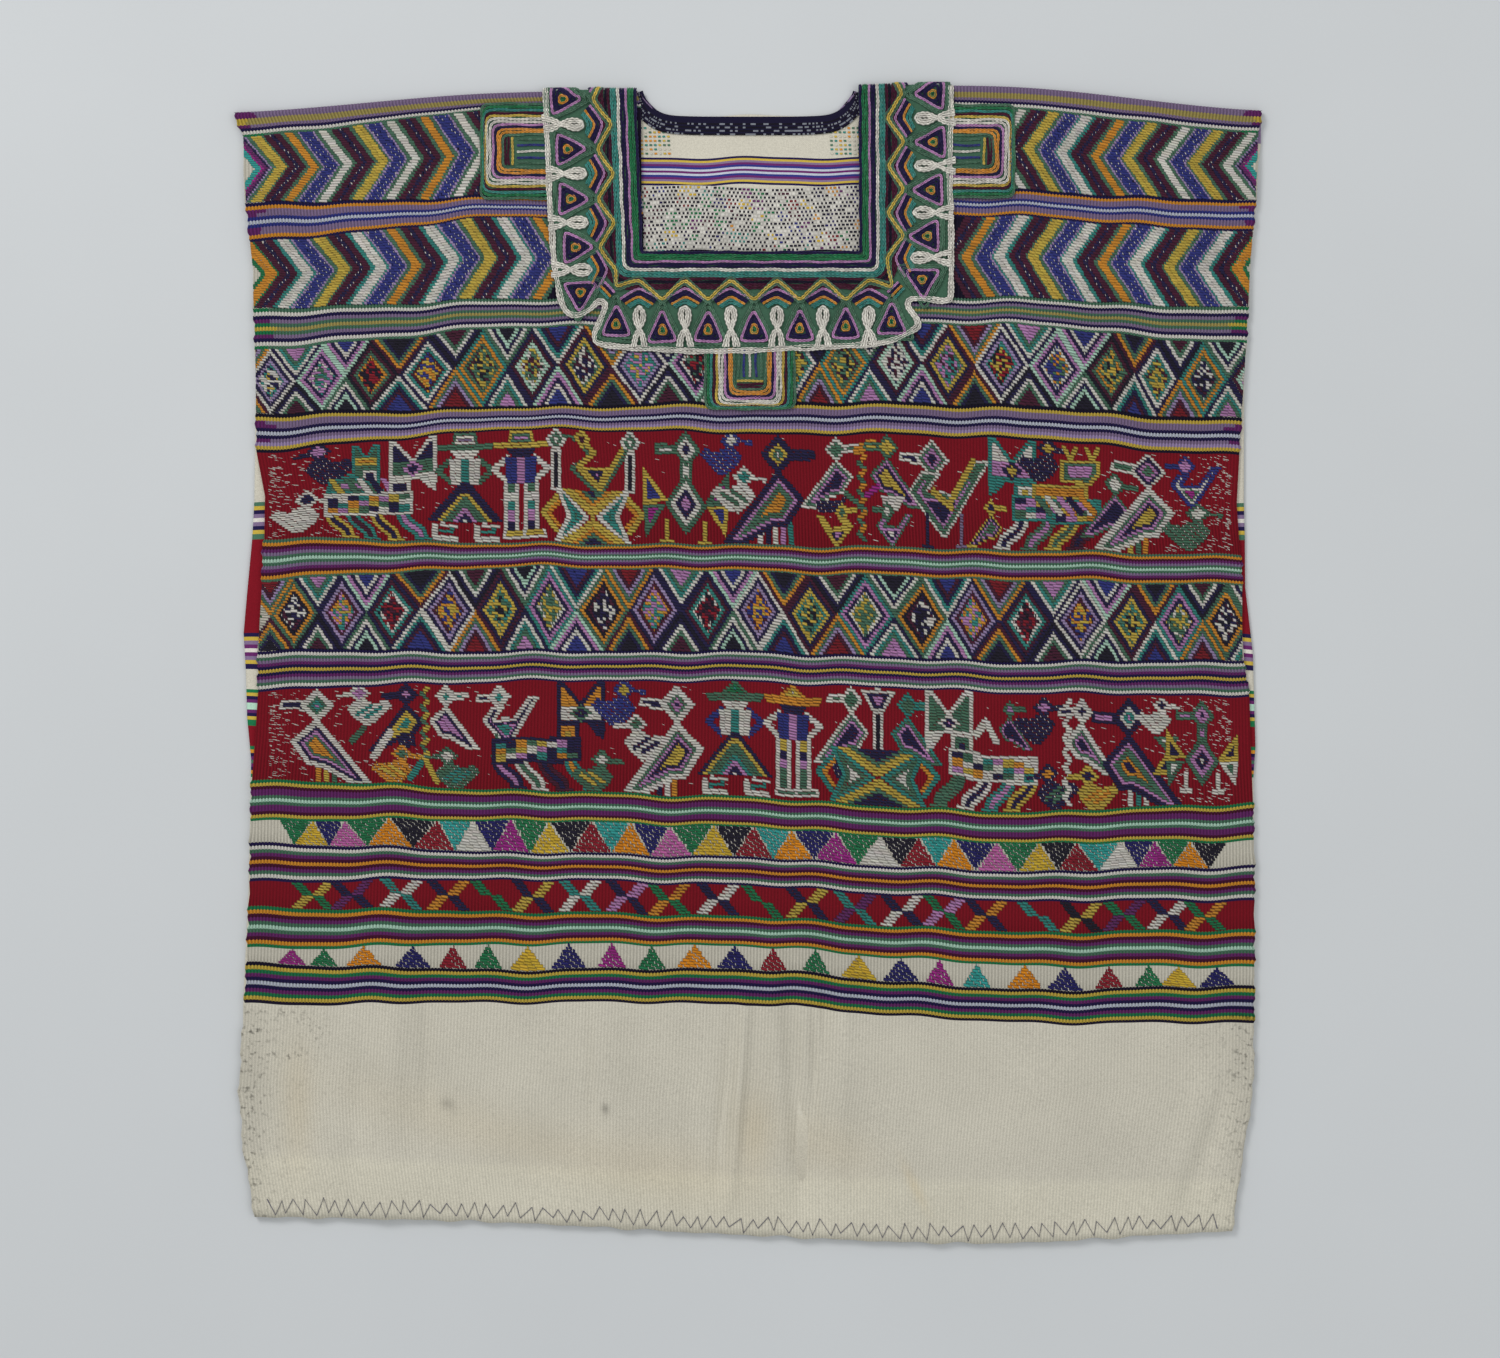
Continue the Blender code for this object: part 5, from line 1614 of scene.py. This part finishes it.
def ground_patch(low, high, pitch, keep, key="g", lift=1.0 * MM):
    """A stitched ground in one yarn, on the squares of a net that are kept."""
    x, drop = (np.linspace(start, end, max(2, round((end - start) / pitch)))
               for start, end in zip(low, high))
    places = np.stack(np.meshgrid(x, drop), axis=2).reshape(-1, 2)
    odd = np.indices((len(drop), len(x))).sum(axis=0).ravel() % 2
    path, normals = on_front(places, 0.0)
    points = path + normals * (lift + 0.12 * MM * (1 - 2 * odd))[:, None]
    faces, _, _ = grid_faces(len(drop), len(x), lambda row, column: keep(
        mix(x[column], x[column + 1], 0.5), mix(drop[row], drop[row + 1], 0.5)))
    used, renumbered = np.unique(faces, return_inverse=True)
    # The ground's yarn is dyed 30% darker: painted shade under the chain rows that lie over it.
    dye = np.tile(yarn_colours(key) * 0.7, (len(used), 1))
    return points[used], renumbered.reshape(faces.shape), dye


# ---- neck embroidery

PARTS = ("left", "front", "right")
NECK_BOTTOM = float(drop_at(NECK_BAND, NECK_ROW, 0.5))
CORNER_STEPS = 6

# The collar's rows, outwards from the neck in millimetres: rings round the neck, and a zigzag
# whose tips are further out at the teeth than at the loops between them.
RINGS = ((1.1, "n", 1.0), (3.5, "e", 1.05), (5.9, "e", 1.0), (8.0, "p", 0.8), (9.9, "n", 0.8),
         (11.7, "n", 0.8), (14.0, "w", 1.15), (16.5, "t", 1.05), (18.7, "t", 1.05),
         (20.9, "m", 1.0), (23.2, "k", 1.0), (25.4, "m", 1.0), (27.6, "m", 1.0))
ZIGZAG_ROWS = ((-2.2, "g", 0.8), (0.0, "y", 1.25), (2.4, "g", 1.0))
ZIGZAG_TIPS = {"left": (33.0, 20.5), "front": (36.5, 21.5), "right": (33.0, 20.5)}
ZIGZAG_CORNER = 27
# Nested chevrons above each loop: how far past the zigzag, half their width, and yarn.
CHEVRONS = ((6.2, 14.5, "p"), (8.4, 13.0, "n"), (10.3, 12.0, "n"), (12.4, 10.5, "o"),
            (14.6, 9.0, "t"), (16.7, 7.5, "t"))
CORNER_BARS = ((0.0, "p"), (2.2, "n"), (4.4, "o"), (6.6, "t"))

# The nested rows of a tooth: how much they grow past its middle one, and yarn. Each grows by a
# share of that: at its tip, its foot and its sides.
TOOTH_ROWS = ((4.6, "g"), (2.4, "g"), (0.0, "p"), (-2.2, "n"), (-4.0, "n"), (-6.0, "o"),
              (-7.8, "e"))
Tooth = namedtuple("Tooth", "tip foot side slope")
TEETH = {"left": Tooth(14.6, 8.4, 12.6, 1.4), "front": Tooth(15.8, 8.4, 11.2, 1.2),
         "right": Tooth(14.6, 8.4, 12.6, 1.4)}
# At its tip and its foot a row grows by these shares. Where little room is left it is a knot:
# its tip as a share of the tooth's, its foot and half its width.
TIP_GROWTH, FOOT_GROWTH, LEAST_HALF, KNOT = 1.6, 0.95, 3.2, (0.22, 2.0, 2.4)
# The front teeth past the first lie further out; the arms' corner teeth lean to the front.
FURTHER_OUT, FIRST_FRONT, CORNER_TOOTH, CORNER_LEAN = 4.5 * MM, -90 * MM, 7 * MM, 0.5

# A loop in millimetres: aside of its middle, and outwards from the neck. Two rows follow it.
LOOP_SHAPE = ((-5.0, 72), (-3.2, 63), (1.0, 57), (3.6, 50), (2.8, 44), (0, 42), (-2.8, 44),
              (-3.6, 50), (-1.0, 57), (3.2, 63), (5.0, 72))
LOOP_ROWS = ((1.1, 2.2), (0.6, 2.6))


def ring_round_neck(outwards):
    """Places (across, drop) of a line round the neck, over the shoulder fold at both ends."""
    bottom = NECK_BOTTOM + outwards
    radius = mix(2 * MM, 30 * MM, min(1.0, max(outwards, 0) / (38 * MM)) ** 2)
    steps = np.arange(CORNER_STEPS + 1) / CORNER_STEPS
    turns = steps[1:] * math.pi / 2
    halves = []
    for side in (-1, 1):
        arm = neck_edge(side, NECK_BOTTOM) + side * outwards
        fold_x = neck_edge(side, 0.0) + side * outwards
        fold = band_edge(0, share_across(fold_x))
        over = [(fold_x, fold - ROLL_OUTER * math.radians(turn)) for turn in (105, 75, 50, 25)]
        down = np.column_stack([mix(fold_x, arm, steps), mix(fold, bottom - radius, steps)])
        corner = np.column_stack([arm - side * radius * (1 - np.cos(turns)),
                                  bottom - radius * (1 - np.sin(turns))])
        halves.append(np.vstack([over, down, corner]))
    return np.vstack([halves[0], halves[1][::-1]])


def tooth_stations():
    """Each tooth's part, place along it and how far it comes in, and the loops between them."""
    teeth, loops = [], []
    for part, first, pitch in (("left", FIRST_ARM_TOOTH, ARM_PITCH),
                               ("right", RIGHT_FIRST_TOOTH, RIGHT_PITCH)):
        for stations, count, start, bend, shift in (
                (teeth, ARM_TEETH + 1, 0.0, 4, CORNER_SHIFT), (loops, ARM_TEETH, 0.5, 3, LOOP_SHIFT)):
            for number in np.arange(count) + start:
                share = number / ARM_TEETH
                stations.append((part, first + pitch * number - CORNER_LIFT * share ** bend,
                                 shift * share ** 2))
    middle = (FRONT_TEETH - 1) / 2
    for number in range(FRONT_TEETH):
        rise = RIGHT_RISE * (number / (FRONT_TEETH - 1)) ** 4
        teeth.append(("front", FRONT_PITCH * (number - middle) + FRONT_SHIFT, rise))
    for number in range(FRONT_TEETH - 1):
        loops.append(("front", FRONT_PITCH * (number + 0.5 - middle) + FRONT_SHIFT, 0.0))
    return teeth, loops


def strip_place(part, spot, outwards):
    """A place beside the neck's left or right edge at a drop, or below it at a place across."""
    if part == "front":
        return spot, NECK_BOTTOM + outwards
    side = -1 if part == "left" else 1
    return neck_edge(side, spot) + side * outwards, spot


def numbered(word, on_arm, on_front_edge):
    """Names of like solids round the collar."""
    counts = zip(PARTS, (on_arm, on_front_edge, on_arm))
    return [f"{word}_{part}_{number + 1}" for part, count in counts for number in range(count)]


def zigzag_rows(teeth, loops):
    """The collar's zigzag, from the left shoulder round to the right."""
    tips = {part: sorted([(spot, ZIGZAG_TIPS[part][0]) for word, spot, _ in teeth if word == part]
                         + [(spot, ZIGZAG_TIPS[part][1]) for word, spot, _ in loops
                            if word == part]) for part in PARTS}
    front = tips["front"]
    front[0], front[-1] = (front[0][0], ZIGZAG_CORNER), (front[-1][0], ZIGZAG_CORNER)
    for shift, key, width in ZIGZAG_ROWS:
        left, middle, right = ([strip_place(part, spot, (out + shift) * MM)
                                for spot, out in tips[part]] for part in PARTS)
        yield stitched(soften(left[:-1] + middle + right[-2::-1], 3 * MM), key, width, 2.1 * MM)


def chevron_rows(loops):
    """The nested chevrons between the zigzag and each loop, and the bars at both corners."""
    for part in ("left", "right", "front"):
        for word, spot, _ in loops:
            if word != part:
                continue
            for out, half, key in CHEVRONS:
                line = [strip_place(part, spot + side * half * MM,
                                    (ZIGZAG_TIPS[part][1] + out + abs(side) * half * 0.55) * MM)
                        for side in (-1, 0, 1)]
                yield stitched(soften(line, 3 * MM), key, 0.85, 2.0 * MM)
    for side in (-1, 1):
        for shift, key in CORNER_BARS:
            out = 0.7 * shift
            x = neck_edge(side, NECK_BOTTOM) + side * (25 + out) * MM
            drop = NECK_BOTTOM + (27 + out) * MM
            yield stitched([(x - side * end * 4 * MM, drop + end * 4 * MM) for end in (-1, 1)],
                           key, 0.85, 2.0 * MM)


def embroider_neck():
    """The corded square collar: rings round the neck, zigzag and nested chevrons."""
    teeth, loops = tooth_stations()
    loops = [("left", FIRST_ARM_TOOTH - 0.5 * ARM_PITCH, 0.0),
             ("right", RIGHT_FIRST_TOOTH - 0.5 * RIGHT_PITCH, 0.0)] + loops
    rows = [stitched(ring_round_neck(out * MM), key, width) for out, key, width in RINGS]
    rows += [*zigzag_rows(teeth, loops), *chevron_rows(loops)]
    cord = np.array(EDGE_CORD_ROUTE) * MM
    outline = np.vstack([(cord[0][0], -20 * MM), cord, (cord[-1][0], -20 * MM)])
    hole = ring_round_neck(0.6 * MM)
    hole = np.vstack([(hole[0][0], -30 * MM), hole, (hole[-1][0], -30 * MM)])

    def on_collar(x, drop):
        low_enough = drop > band_edge(0, share_across(x)) - 4.6 * MM
        return inside_outline(x, drop, outline) & ~inside_outline(x, drop, hole) & low_enough

    ground = ground_patch((-156 * MM, 0.0), (156 * MM, 208 * MM), 1.7 * MM, on_collar)
    return chain_stitch("neck_embroidery", rows, ["neck_embroidery"], ground)


def embroider_teeth():
    """Nested three-cornered teeth round the collar, their tips towards the neck."""
    rows = []
    for part, spot, nearer in tooth_stations()[0]:
        tooth = TEETH[part]
        further_out = FURTHER_OUT if part == "front" and spot > FIRST_FRONT else 0
        centre = np.array(strip_place(part, spot, TOOTH_OFFSET + further_out - nearer))
        towards = np.array({"left": (1.0, 0), "right": (-1.0, 0), "front": (0, -1.0)}[part])
        if part != "front" and nearer > CORNER_TOOTH:
            towards = np.array([towards[0] * math.cos(CORNER_LEAN), -math.sin(CORNER_LEAN)])
        beside = np.array([-towards[1], towards[0]])
        for grow, key in TOOTH_ROWS:
            tip, foot = tooth.tip + TIP_GROWTH * grow, tooth.foot + FOOT_GROWTH * grow
            half = tooth.side + tooth.slope * grow
            if half < LEAST_HALF:
                tip, foot, half = KNOT[0] * tooth.tip, *KNOT[1:]
            heel = centre - towards * foot * MM
            corners = [centre + towards * tip * MM, heel + beside * half * MM,
                       heel - beside * half * MM]
            rows.append(stitched(soften(corners, 4.5 * MM, closed=True), key, 0.95, 1.9 * MM))
    names = numbered("tooth", ARM_TEETH + 1, FRONT_TEETH)
    return chain_stitch("teeth", rows, names)


def embroider_loops():
    """White loops between the teeth, whose two ends cross and run out to the edge cord."""
    rows = []
    for part, spot, nearer in tooth_stations()[1]:
        for grow, lift in LOOP_ROWS:
            line = [strip_place(part, spot + aside * grow * MM, out * MM - nearer)
                    for aside, out in LOOP_SHAPE]
            rows.append(stitched(soften(line, 4 * MM), "w", 1.35, lift * MM))
    names = numbered("loop", ARM_TEETH, FRONT_TEETH - 1)
    return chain_stitch("loops", rows, names)


def smooth_route(route, count):
    """A smooth line through a route in millimetres, in metres."""
    share = np.linspace(0, 1, count)
    return np.column_stack([through_stations(column, share) for column in np.array(route).T * MM])


def couch_edge_cord():
    """The white cord round the collar: two rows of chain stitch side by side."""
    line = smooth_route(EDGE_CORD_ROUTE, 160)
    ahead = np.gradient(line, axis=0)
    aside = np.column_stack([ahead[:, 1], -ahead[:, 0]])
    aside /= np.linalg.norm(aside, axis=1)[:, None]
    rows = [stitched(line + aside * shift * MM, "w", 1.1, 1.8 * MM) for shift in (-1.0, 1.0)]
    return chain_stitch("edge_cord", rows, ["edge_cord"])


# A rosette of ROSETTE_SIZE: its rows, outside first, with their insets at the closed end and at
# the sides in millimetres; and the bars inside, in shares of its depth or its inner width.
ROSETTE_ROWS = ((0.6, 0.6, "g"), (1.4, 2.9, "e"), (2.2, 5.2, "t"), (3.0, 7.5, "m"),
                (3.7, 9.6, "y"), (4.8, 11.8, "w"), (7.1, 14.1, "w"), (9.4, 16.2, "p"),
                (11.2, 17.9, "n"), (13.0, 19.7, "o"), (14.9, 21.5, "o"), (16.9, 23.4, "g"))
ROSETTE_CROSSBARS = ((-0.16, "m"), (-0.04, "m"), (0.1, "y"))
ROSETTE_BARS = ((-0.85, "g"), (-0.45, "b"), (0.0, "w"), (0.45, "b"), (0.85, "g"))
ROSETTE_SIZE, ROSETTE_INSIDE, ROSETTE_MOUTH = (22, 36), 25.5, 7


def embroider_rosette(rosette):
    """One rosette: nested three-sided frames round a few straight bars."""
    turn = math.radians(rosette.turn)
    deep, wide = rosette.half_width, rosette.half_height
    if rosette.turn == 90:
        deep, wide = wide, deep
    mouth = deep + ROSETTE_MOUTH
    cosine, sine = math.cos(turn), math.sin(turn)

    def place(*points):
        return [((rosette.across + a * cosine + b * sine) * MM,
                 (rosette.drop - a * sine + b * cosine) * MM) for a, b in points]

    rows = []
    for end, side, key in ROSETTE_ROWS:
        end = end * deep / ROSETTE_SIZE[0] - deep
        side = side * wide / ROSETTE_SIZE[1] - wide
        line = place((mouth, side), (end, side), (end, -side), (mouth, -side))
        rows.append(stitched(soften(line, 6 * MM), key, 0.85))
    reach = wide - ROSETTE_INSIDE * wide / ROSETTE_SIZE[1]
    rows += [stitched(place((spot * deep, -reach), (spot * deep, reach)), key, 0.8)
             for spot, key in ROSETTE_CROSSBARS]
    rows += [stitched(place((0.24 * deep, aside * reach), (mouth, aside * reach)), key, 0.75)
             for aside, key in ROSETTE_BARS]
    outline = []
    for angle in np.linspace(0, 2 * math.pi, 40, endpoint=False):
        a, b = (math.copysign(abs(part) ** 0.45, part)
                for part in (math.cos(angle), math.sin(angle)))
        outline += place((deep * a + ROSETTE_MOUTH * (a > 0), wide * b))
    ground = ground_patch(np.min(outline, axis=0), np.max(outline, axis=0), 1.6 * MM,
                          lambda x, drop: inside_outline(x, drop, outline))
    return chain_stitch(rosette.name, rows, [rosette.name], ground)


# The rim of the back neck from shoulder to shoulder: millimetres from the middle, and the drop.
BACK_NECK_RIM = ((-79, 8), (-76, 15), (-70, 21.5), (-60, 26), (-42, 27.3), (-14, 27.5),
                 (14, 27.5), (42, 27.3), (60, 26), (70, 21.5), (76, 15), (79, 8))
# The edging's strips of stitches from the rim inwards, its columns, and its width in the
# middle and at both ends. Most of the white stitches are hidden in the navy ones.
EDGING_YARNS, EDGING_COLUMNS, EDGING_WIDTHS = "nnnnananana", 160, (14.0 * MM, 7.0 * MM)
EDGING_HEIGHT, EDGING_BULGE, HIDDEN_STITCHES = WALL + GAP + 0.55 * MM, 0.5 * MM, 0.6


def bind_back_neck():
    """The navy edging inside the back neck, with rows of small white stitches."""
    count = len(EDGING_YARNS)
    x, drop = smooth_route(BACK_NECK_RIM, EDGING_COLUMNS + 1).T
    run, fall = np.gradient(x), np.gradient(drop)
    ahead = np.hypot(run, fall)
    from_middle = np.abs(np.linspace(-1, 1, EDGING_COLUMNS + 1))
    width = mix(*EDGING_WIDTHS, from_middle ** 4)
    points = []
    for step in range(count + 1):
        out = width * step / count
        bulge = EDGING_BULGE * math.sin(math.pi * step / count) ** 0.5
        wave = 0.12 * MM * (-1) ** (np.arange(EDGING_COLUMNS + 1) + step)
        points.append(np.column_stack([x - fall / ahead * out, along(drop + run / ahead * out),
                                       EDGING_HEIGHT + bulge + wave]))
    faces, row, _ = grid_faces(count + 1, EDGING_COLUMNS + 1)
    yarns = yarn_numbers(EDGING_YARNS)[row]
    hidden = (yarns == PALE) & (chance().random(len(yarns)) < HIDDEN_STITCHES)
    yarns = np.where(hidden, BLACK, yarns)
    return make_piece("back_neck_edging", np.concatenate(points), faces, dyes()[yarns] * 0.38,
                      yarn_dyed("navy_cotton_tape"), ["back_neck_edging"], "back")


def sewing_thread():
    """Polyester thread, spun and dyed dark grey: a slight gloss, mottled by its fine twist."""
    return mottled("polyester_sewing_thread", (0.5, 0.1, 0.4), {"Scale": 1500.0},
                   ("45434f", "6f6d7c"))[0]


# The hem's zigzag: its first and last place across and the step between stitches, as shares of
# the width; how far its points lie above the hem, and how unevenly it was sewn.
HEM_START, HEM_END, HEM_STITCH = 0.012, 0.985, 0.0071
HEM_INSETS, HEM_SLIP, THREAD_RADIUS = (13.5 * MM, 3.5 * MM), 2.2 * MM, 0.42 * MM


def sew_hem():
    """The hem's zigzag of grey thread."""
    source = chance()
    across = np.arange(HEM_START, HEM_END, HEM_STITCH)
    inset = np.where(np.arange(len(across)) % 2, *reversed(HEM_INSETS))
    x = mix(*row_sides(LAST_BAND - 1, 1.0), across)
    x = x + source.uniform(-HEM_SLIP, HEM_SLIP, len(x))
    drop = band_edge(LAST_BAND, across) - inset + source.uniform(-HEM_SLIP, HEM_SLIP, len(x))
    line = bpy.data.curves.new("hem_thread", "CURVE")
    line.dimensions = "3D"
    line.bevel_depth = THREAD_RADIUS
    line.bevel_resolution = 1
    line.use_fill_caps = True
    thread = line.splines.new("POLY")
    thread.points.add(len(x) - 1)
    heights = surface_height(x, drop) + 0.3 * MM
    for point, spot in zip(thread.points, zip(x, along(drop), heights)):
        point.co = (*spot, 1.0)
    line.materials.append(sewing_thread())
    piece = add_object("hem_thread", line)
    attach(piece, "root")
    WORKED["front"].append(piece)
    return piece


# ---- stage

# The stage: a lamp's place and size in metres and its power in watts; the camera's place, its
# sensor in millimetres, and how many metres it sees across.
FLOOR_HALF, FLOOR_LEVEL = 12.0, -0.3 * MM
DAYLIGHT, DAYLIGHT_STRENGTH = (0.95, 0.98, 1.0, 1), 0.61
Lamp = namedtuple("Lamp", "name place size power")
LAMPS = (Lamp("key_softbox", (-1.9, 2.3, 2.6), 1.4, 64.0),
         Lamp("fill_softbox", (1.8, -0.4, 2.6), 2.0, 13.0))
CAMERA_PLACE = (1.5 * MM, -12.3 * MM, 2.2)
CAMERA_SENSOR, CAMERA_VIEW = 36.0, 1.125


def sheet_finish():
    """The floor's white cotton sheet, ironed flat: even and matt, with a just visible grain."""
    material, tree, shader, place = mottled("white_cotton_sheet", (0.9, 0.1, 0.2),
                                            {"Scale": 4.0, "Detail": 3.0}, ("c9cbcc", "cfd1d2"))
    weave = add_node(tree, "TexNoise", {"Scale": 700.0, "Detail": 2.0}, {"Vector": place})
    bump = add_node(tree, "Bump", {"Strength": 0.4, "Distance": 0.1 * MM},
                    {"Height": weave.outputs["Fac"]})
    tree.links.new(bump.outputs[0], shader.inputs["Normal"])
    return material


def set_stage():
    """The pale floor, the soft light and the camera straight above."""
    scene = bpy.context.scene
    mesh = bpy.data.meshes.new("floor")
    corners = [(x * FLOOR_HALF, y * FLOOR_HALF, FLOOR_LEVEL)
               for x, y in ((-1, -1), (1, -1), (1, 1), (-1, 1))]
    mesh.from_pydata(corners, [], [(0, 1, 2, 3)])
    mesh.materials.append(sheet_finish())
    add_object("floor", mesh)

    world = bpy.data.worlds.new("studio")
    world.use_nodes = True
    background = world.node_tree.nodes["Background"]
    background.inputs["Color"].default_value = DAYLIGHT
    background.inputs["Strength"].default_value = DAYLIGHT_STRENGTH
    scene.world = world
    for lamp in LAMPS:
        light = bpy.data.lights.new(lamp.name, "AREA")
        light.shape = "SQUARE"
        light.size = lamp.size
        light.energy = lamp.power
        softbox = add_object(lamp.name, light)
        softbox.location = lamp.place
        softbox.rotation_euler = (-Vector(lamp.place)).to_track_quat("-Z", "Y").to_euler()

    lens = bpy.data.cameras.new("camera")
    lens.sensor_width = CAMERA_SENSOR
    lens.lens = CAMERA_SENSOR * (CAMERA_PLACE[2] - FRONT_TOP) / CAMERA_VIEW
    scene.camera = add_object("camera", lens)
    scene.camera.location = CAMERA_PLACE
    scene.view_settings.view_transform = "Standard"


class HUIPIL_OT_stage(Operator):
    """Lay out the floor, the lights and the camera"""
    bl_idname = "huipil.stage"
    bl_label = "Stage"

    def execute(self, context):
        set_stage()
        return {"FINISHED"}


class HUIPIL_OT_back(Operator):
    """Weave the back, with the brocade's wrong side that shows inside the neck"""
    bl_idname = "huipil.back"
    bl_label = "Back cloth"

    def execute(self, context):
        weave_back()
        lay_reverse_floats()
        return {"FINISHED"}


class HUIPIL_OT_front(Operator):
    """Weave the front"""
    bl_idname = "huipil.front"
    bl_label = "Front cloth"

    def execute(self, context):
        weave_front()
        return {"FINISHED"}


class HUIPIL_OT_brocade(Operator):
    """Lay the floats of every brocaded band"""
    bl_idname = "huipil.brocade"
    bl_label = "Brocade"

    def execute(self, context):
        brocade_front()
        return {"FINISHED"}


class HUIPIL_OT_collar(Operator):
    """Embroider the collar's ground, rings and zigzag"""
    bl_idname = "huipil.collar"
    bl_label = "Collar"

    def execute(self, context):
        embroider_neck()
        return {"FINISHED"}


class HUIPIL_OT_teeth(Operator):
    """Embroider the teeth round the collar"""
    bl_idname = "huipil.teeth"
    bl_label = "Teeth"

    def execute(self, context):
        embroider_teeth()
        return {"FINISHED"}


class HUIPIL_OT_cords(Operator):
    """Work the white loops and the white cord at the collar's edge"""
    bl_idname = "huipil.cords"
    bl_label = "Loops and edge cord"

    def execute(self, context):
        embroider_loops()
        couch_edge_cord()
        return {"FINISHED"}


class HUIPIL_OT_rosettes(Operator):
    """Embroider the three rosettes"""
    bl_idname = "huipil.rosettes"
    bl_label = "Rosettes"

    def execute(self, context):
        for rosette in ROSETTES:
            embroider_rosette(rosette)
        return {"FINISHED"}


class HUIPIL_OT_edging(Operator):
    """Bind the back neck with navy tape"""
    bl_idname = "huipil.edging"
    bl_label = "Back neck edging"

    def execute(self, context):
        bind_back_neck()
        return {"FINISHED"}


class HUIPIL_OT_hem(Operator):
    """Sew the hem"""
    bl_idname = "huipil.hem"
    bl_label = "Hem thread"

    def execute(self, context):
        sew_hem()
        return {"FINISHED"}


class HUIPIL_OT_cut(Operator):
    """List the pieces worked on both panels; the lists are not kept"""
    bl_idname = "huipil.cut"
    bl_label = "Cut of the panels"

    def execute(self, context):
        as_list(WORKED["back"])
        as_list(WORKED["front"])
        return {"FINISHED"}


class HUIPIL_PT_panel(Panel):
    """Sizes, yarns and makers of the blouse"""
    bl_label = "Huipil"
    bl_idname = "HUIPIL_PT_panel"
    bl_space_type = "VIEW_3D"
    bl_region_type = "UI"
    bl_category = "Huipil"

    def draw(self, context):
        layout = self.layout
        for key in HuipilSizes.__annotations__:
            layout.prop(context.scene.huipil_sizes, key)
        for yarn in YARNS:
            layout.prop(context.scene.huipil_yarns, yarn.name)
        for operator in OPERATORS:
            layout.operator(operator.bl_idname)


OPERATORS = (HUIPIL_OT_stage, HUIPIL_OT_back, HUIPIL_OT_front, HUIPIL_OT_brocade,
             HUIPIL_OT_collar, HUIPIL_OT_teeth, HUIPIL_OT_cords, HUIPIL_OT_rosettes,
             HUIPIL_OT_edging, HUIPIL_OT_hem, HUIPIL_OT_cut)
CLASSES = (HuipilSizes, HuipilYarns) + OPERATORS + (HUIPIL_PT_panel,)


def register():
    """Add the settings, the operators and the panel."""
    for item in CLASSES:
        bpy.utils.register_class(item)
    bpy.types.Scene.huipil_sizes = PointerProperty(type=HuipilSizes)
    bpy.types.Scene.huipil_yarns = PointerProperty(type=HuipilYarns)


def unregister():
    """Remove them again."""
    del bpy.types.Scene.huipil_yarns
    del bpy.types.Scene.huipil_sizes
    for item in reversed(CLASSES):
        bpy.utils.unregister_class(item)


def main():
    """Make the stage and the blouse."""
    register()
    for operator in OPERATORS:
        getattr(bpy.ops.huipil, operator.bl_idname.split(".")[1])()


if __name__ == "__main__":
    main()
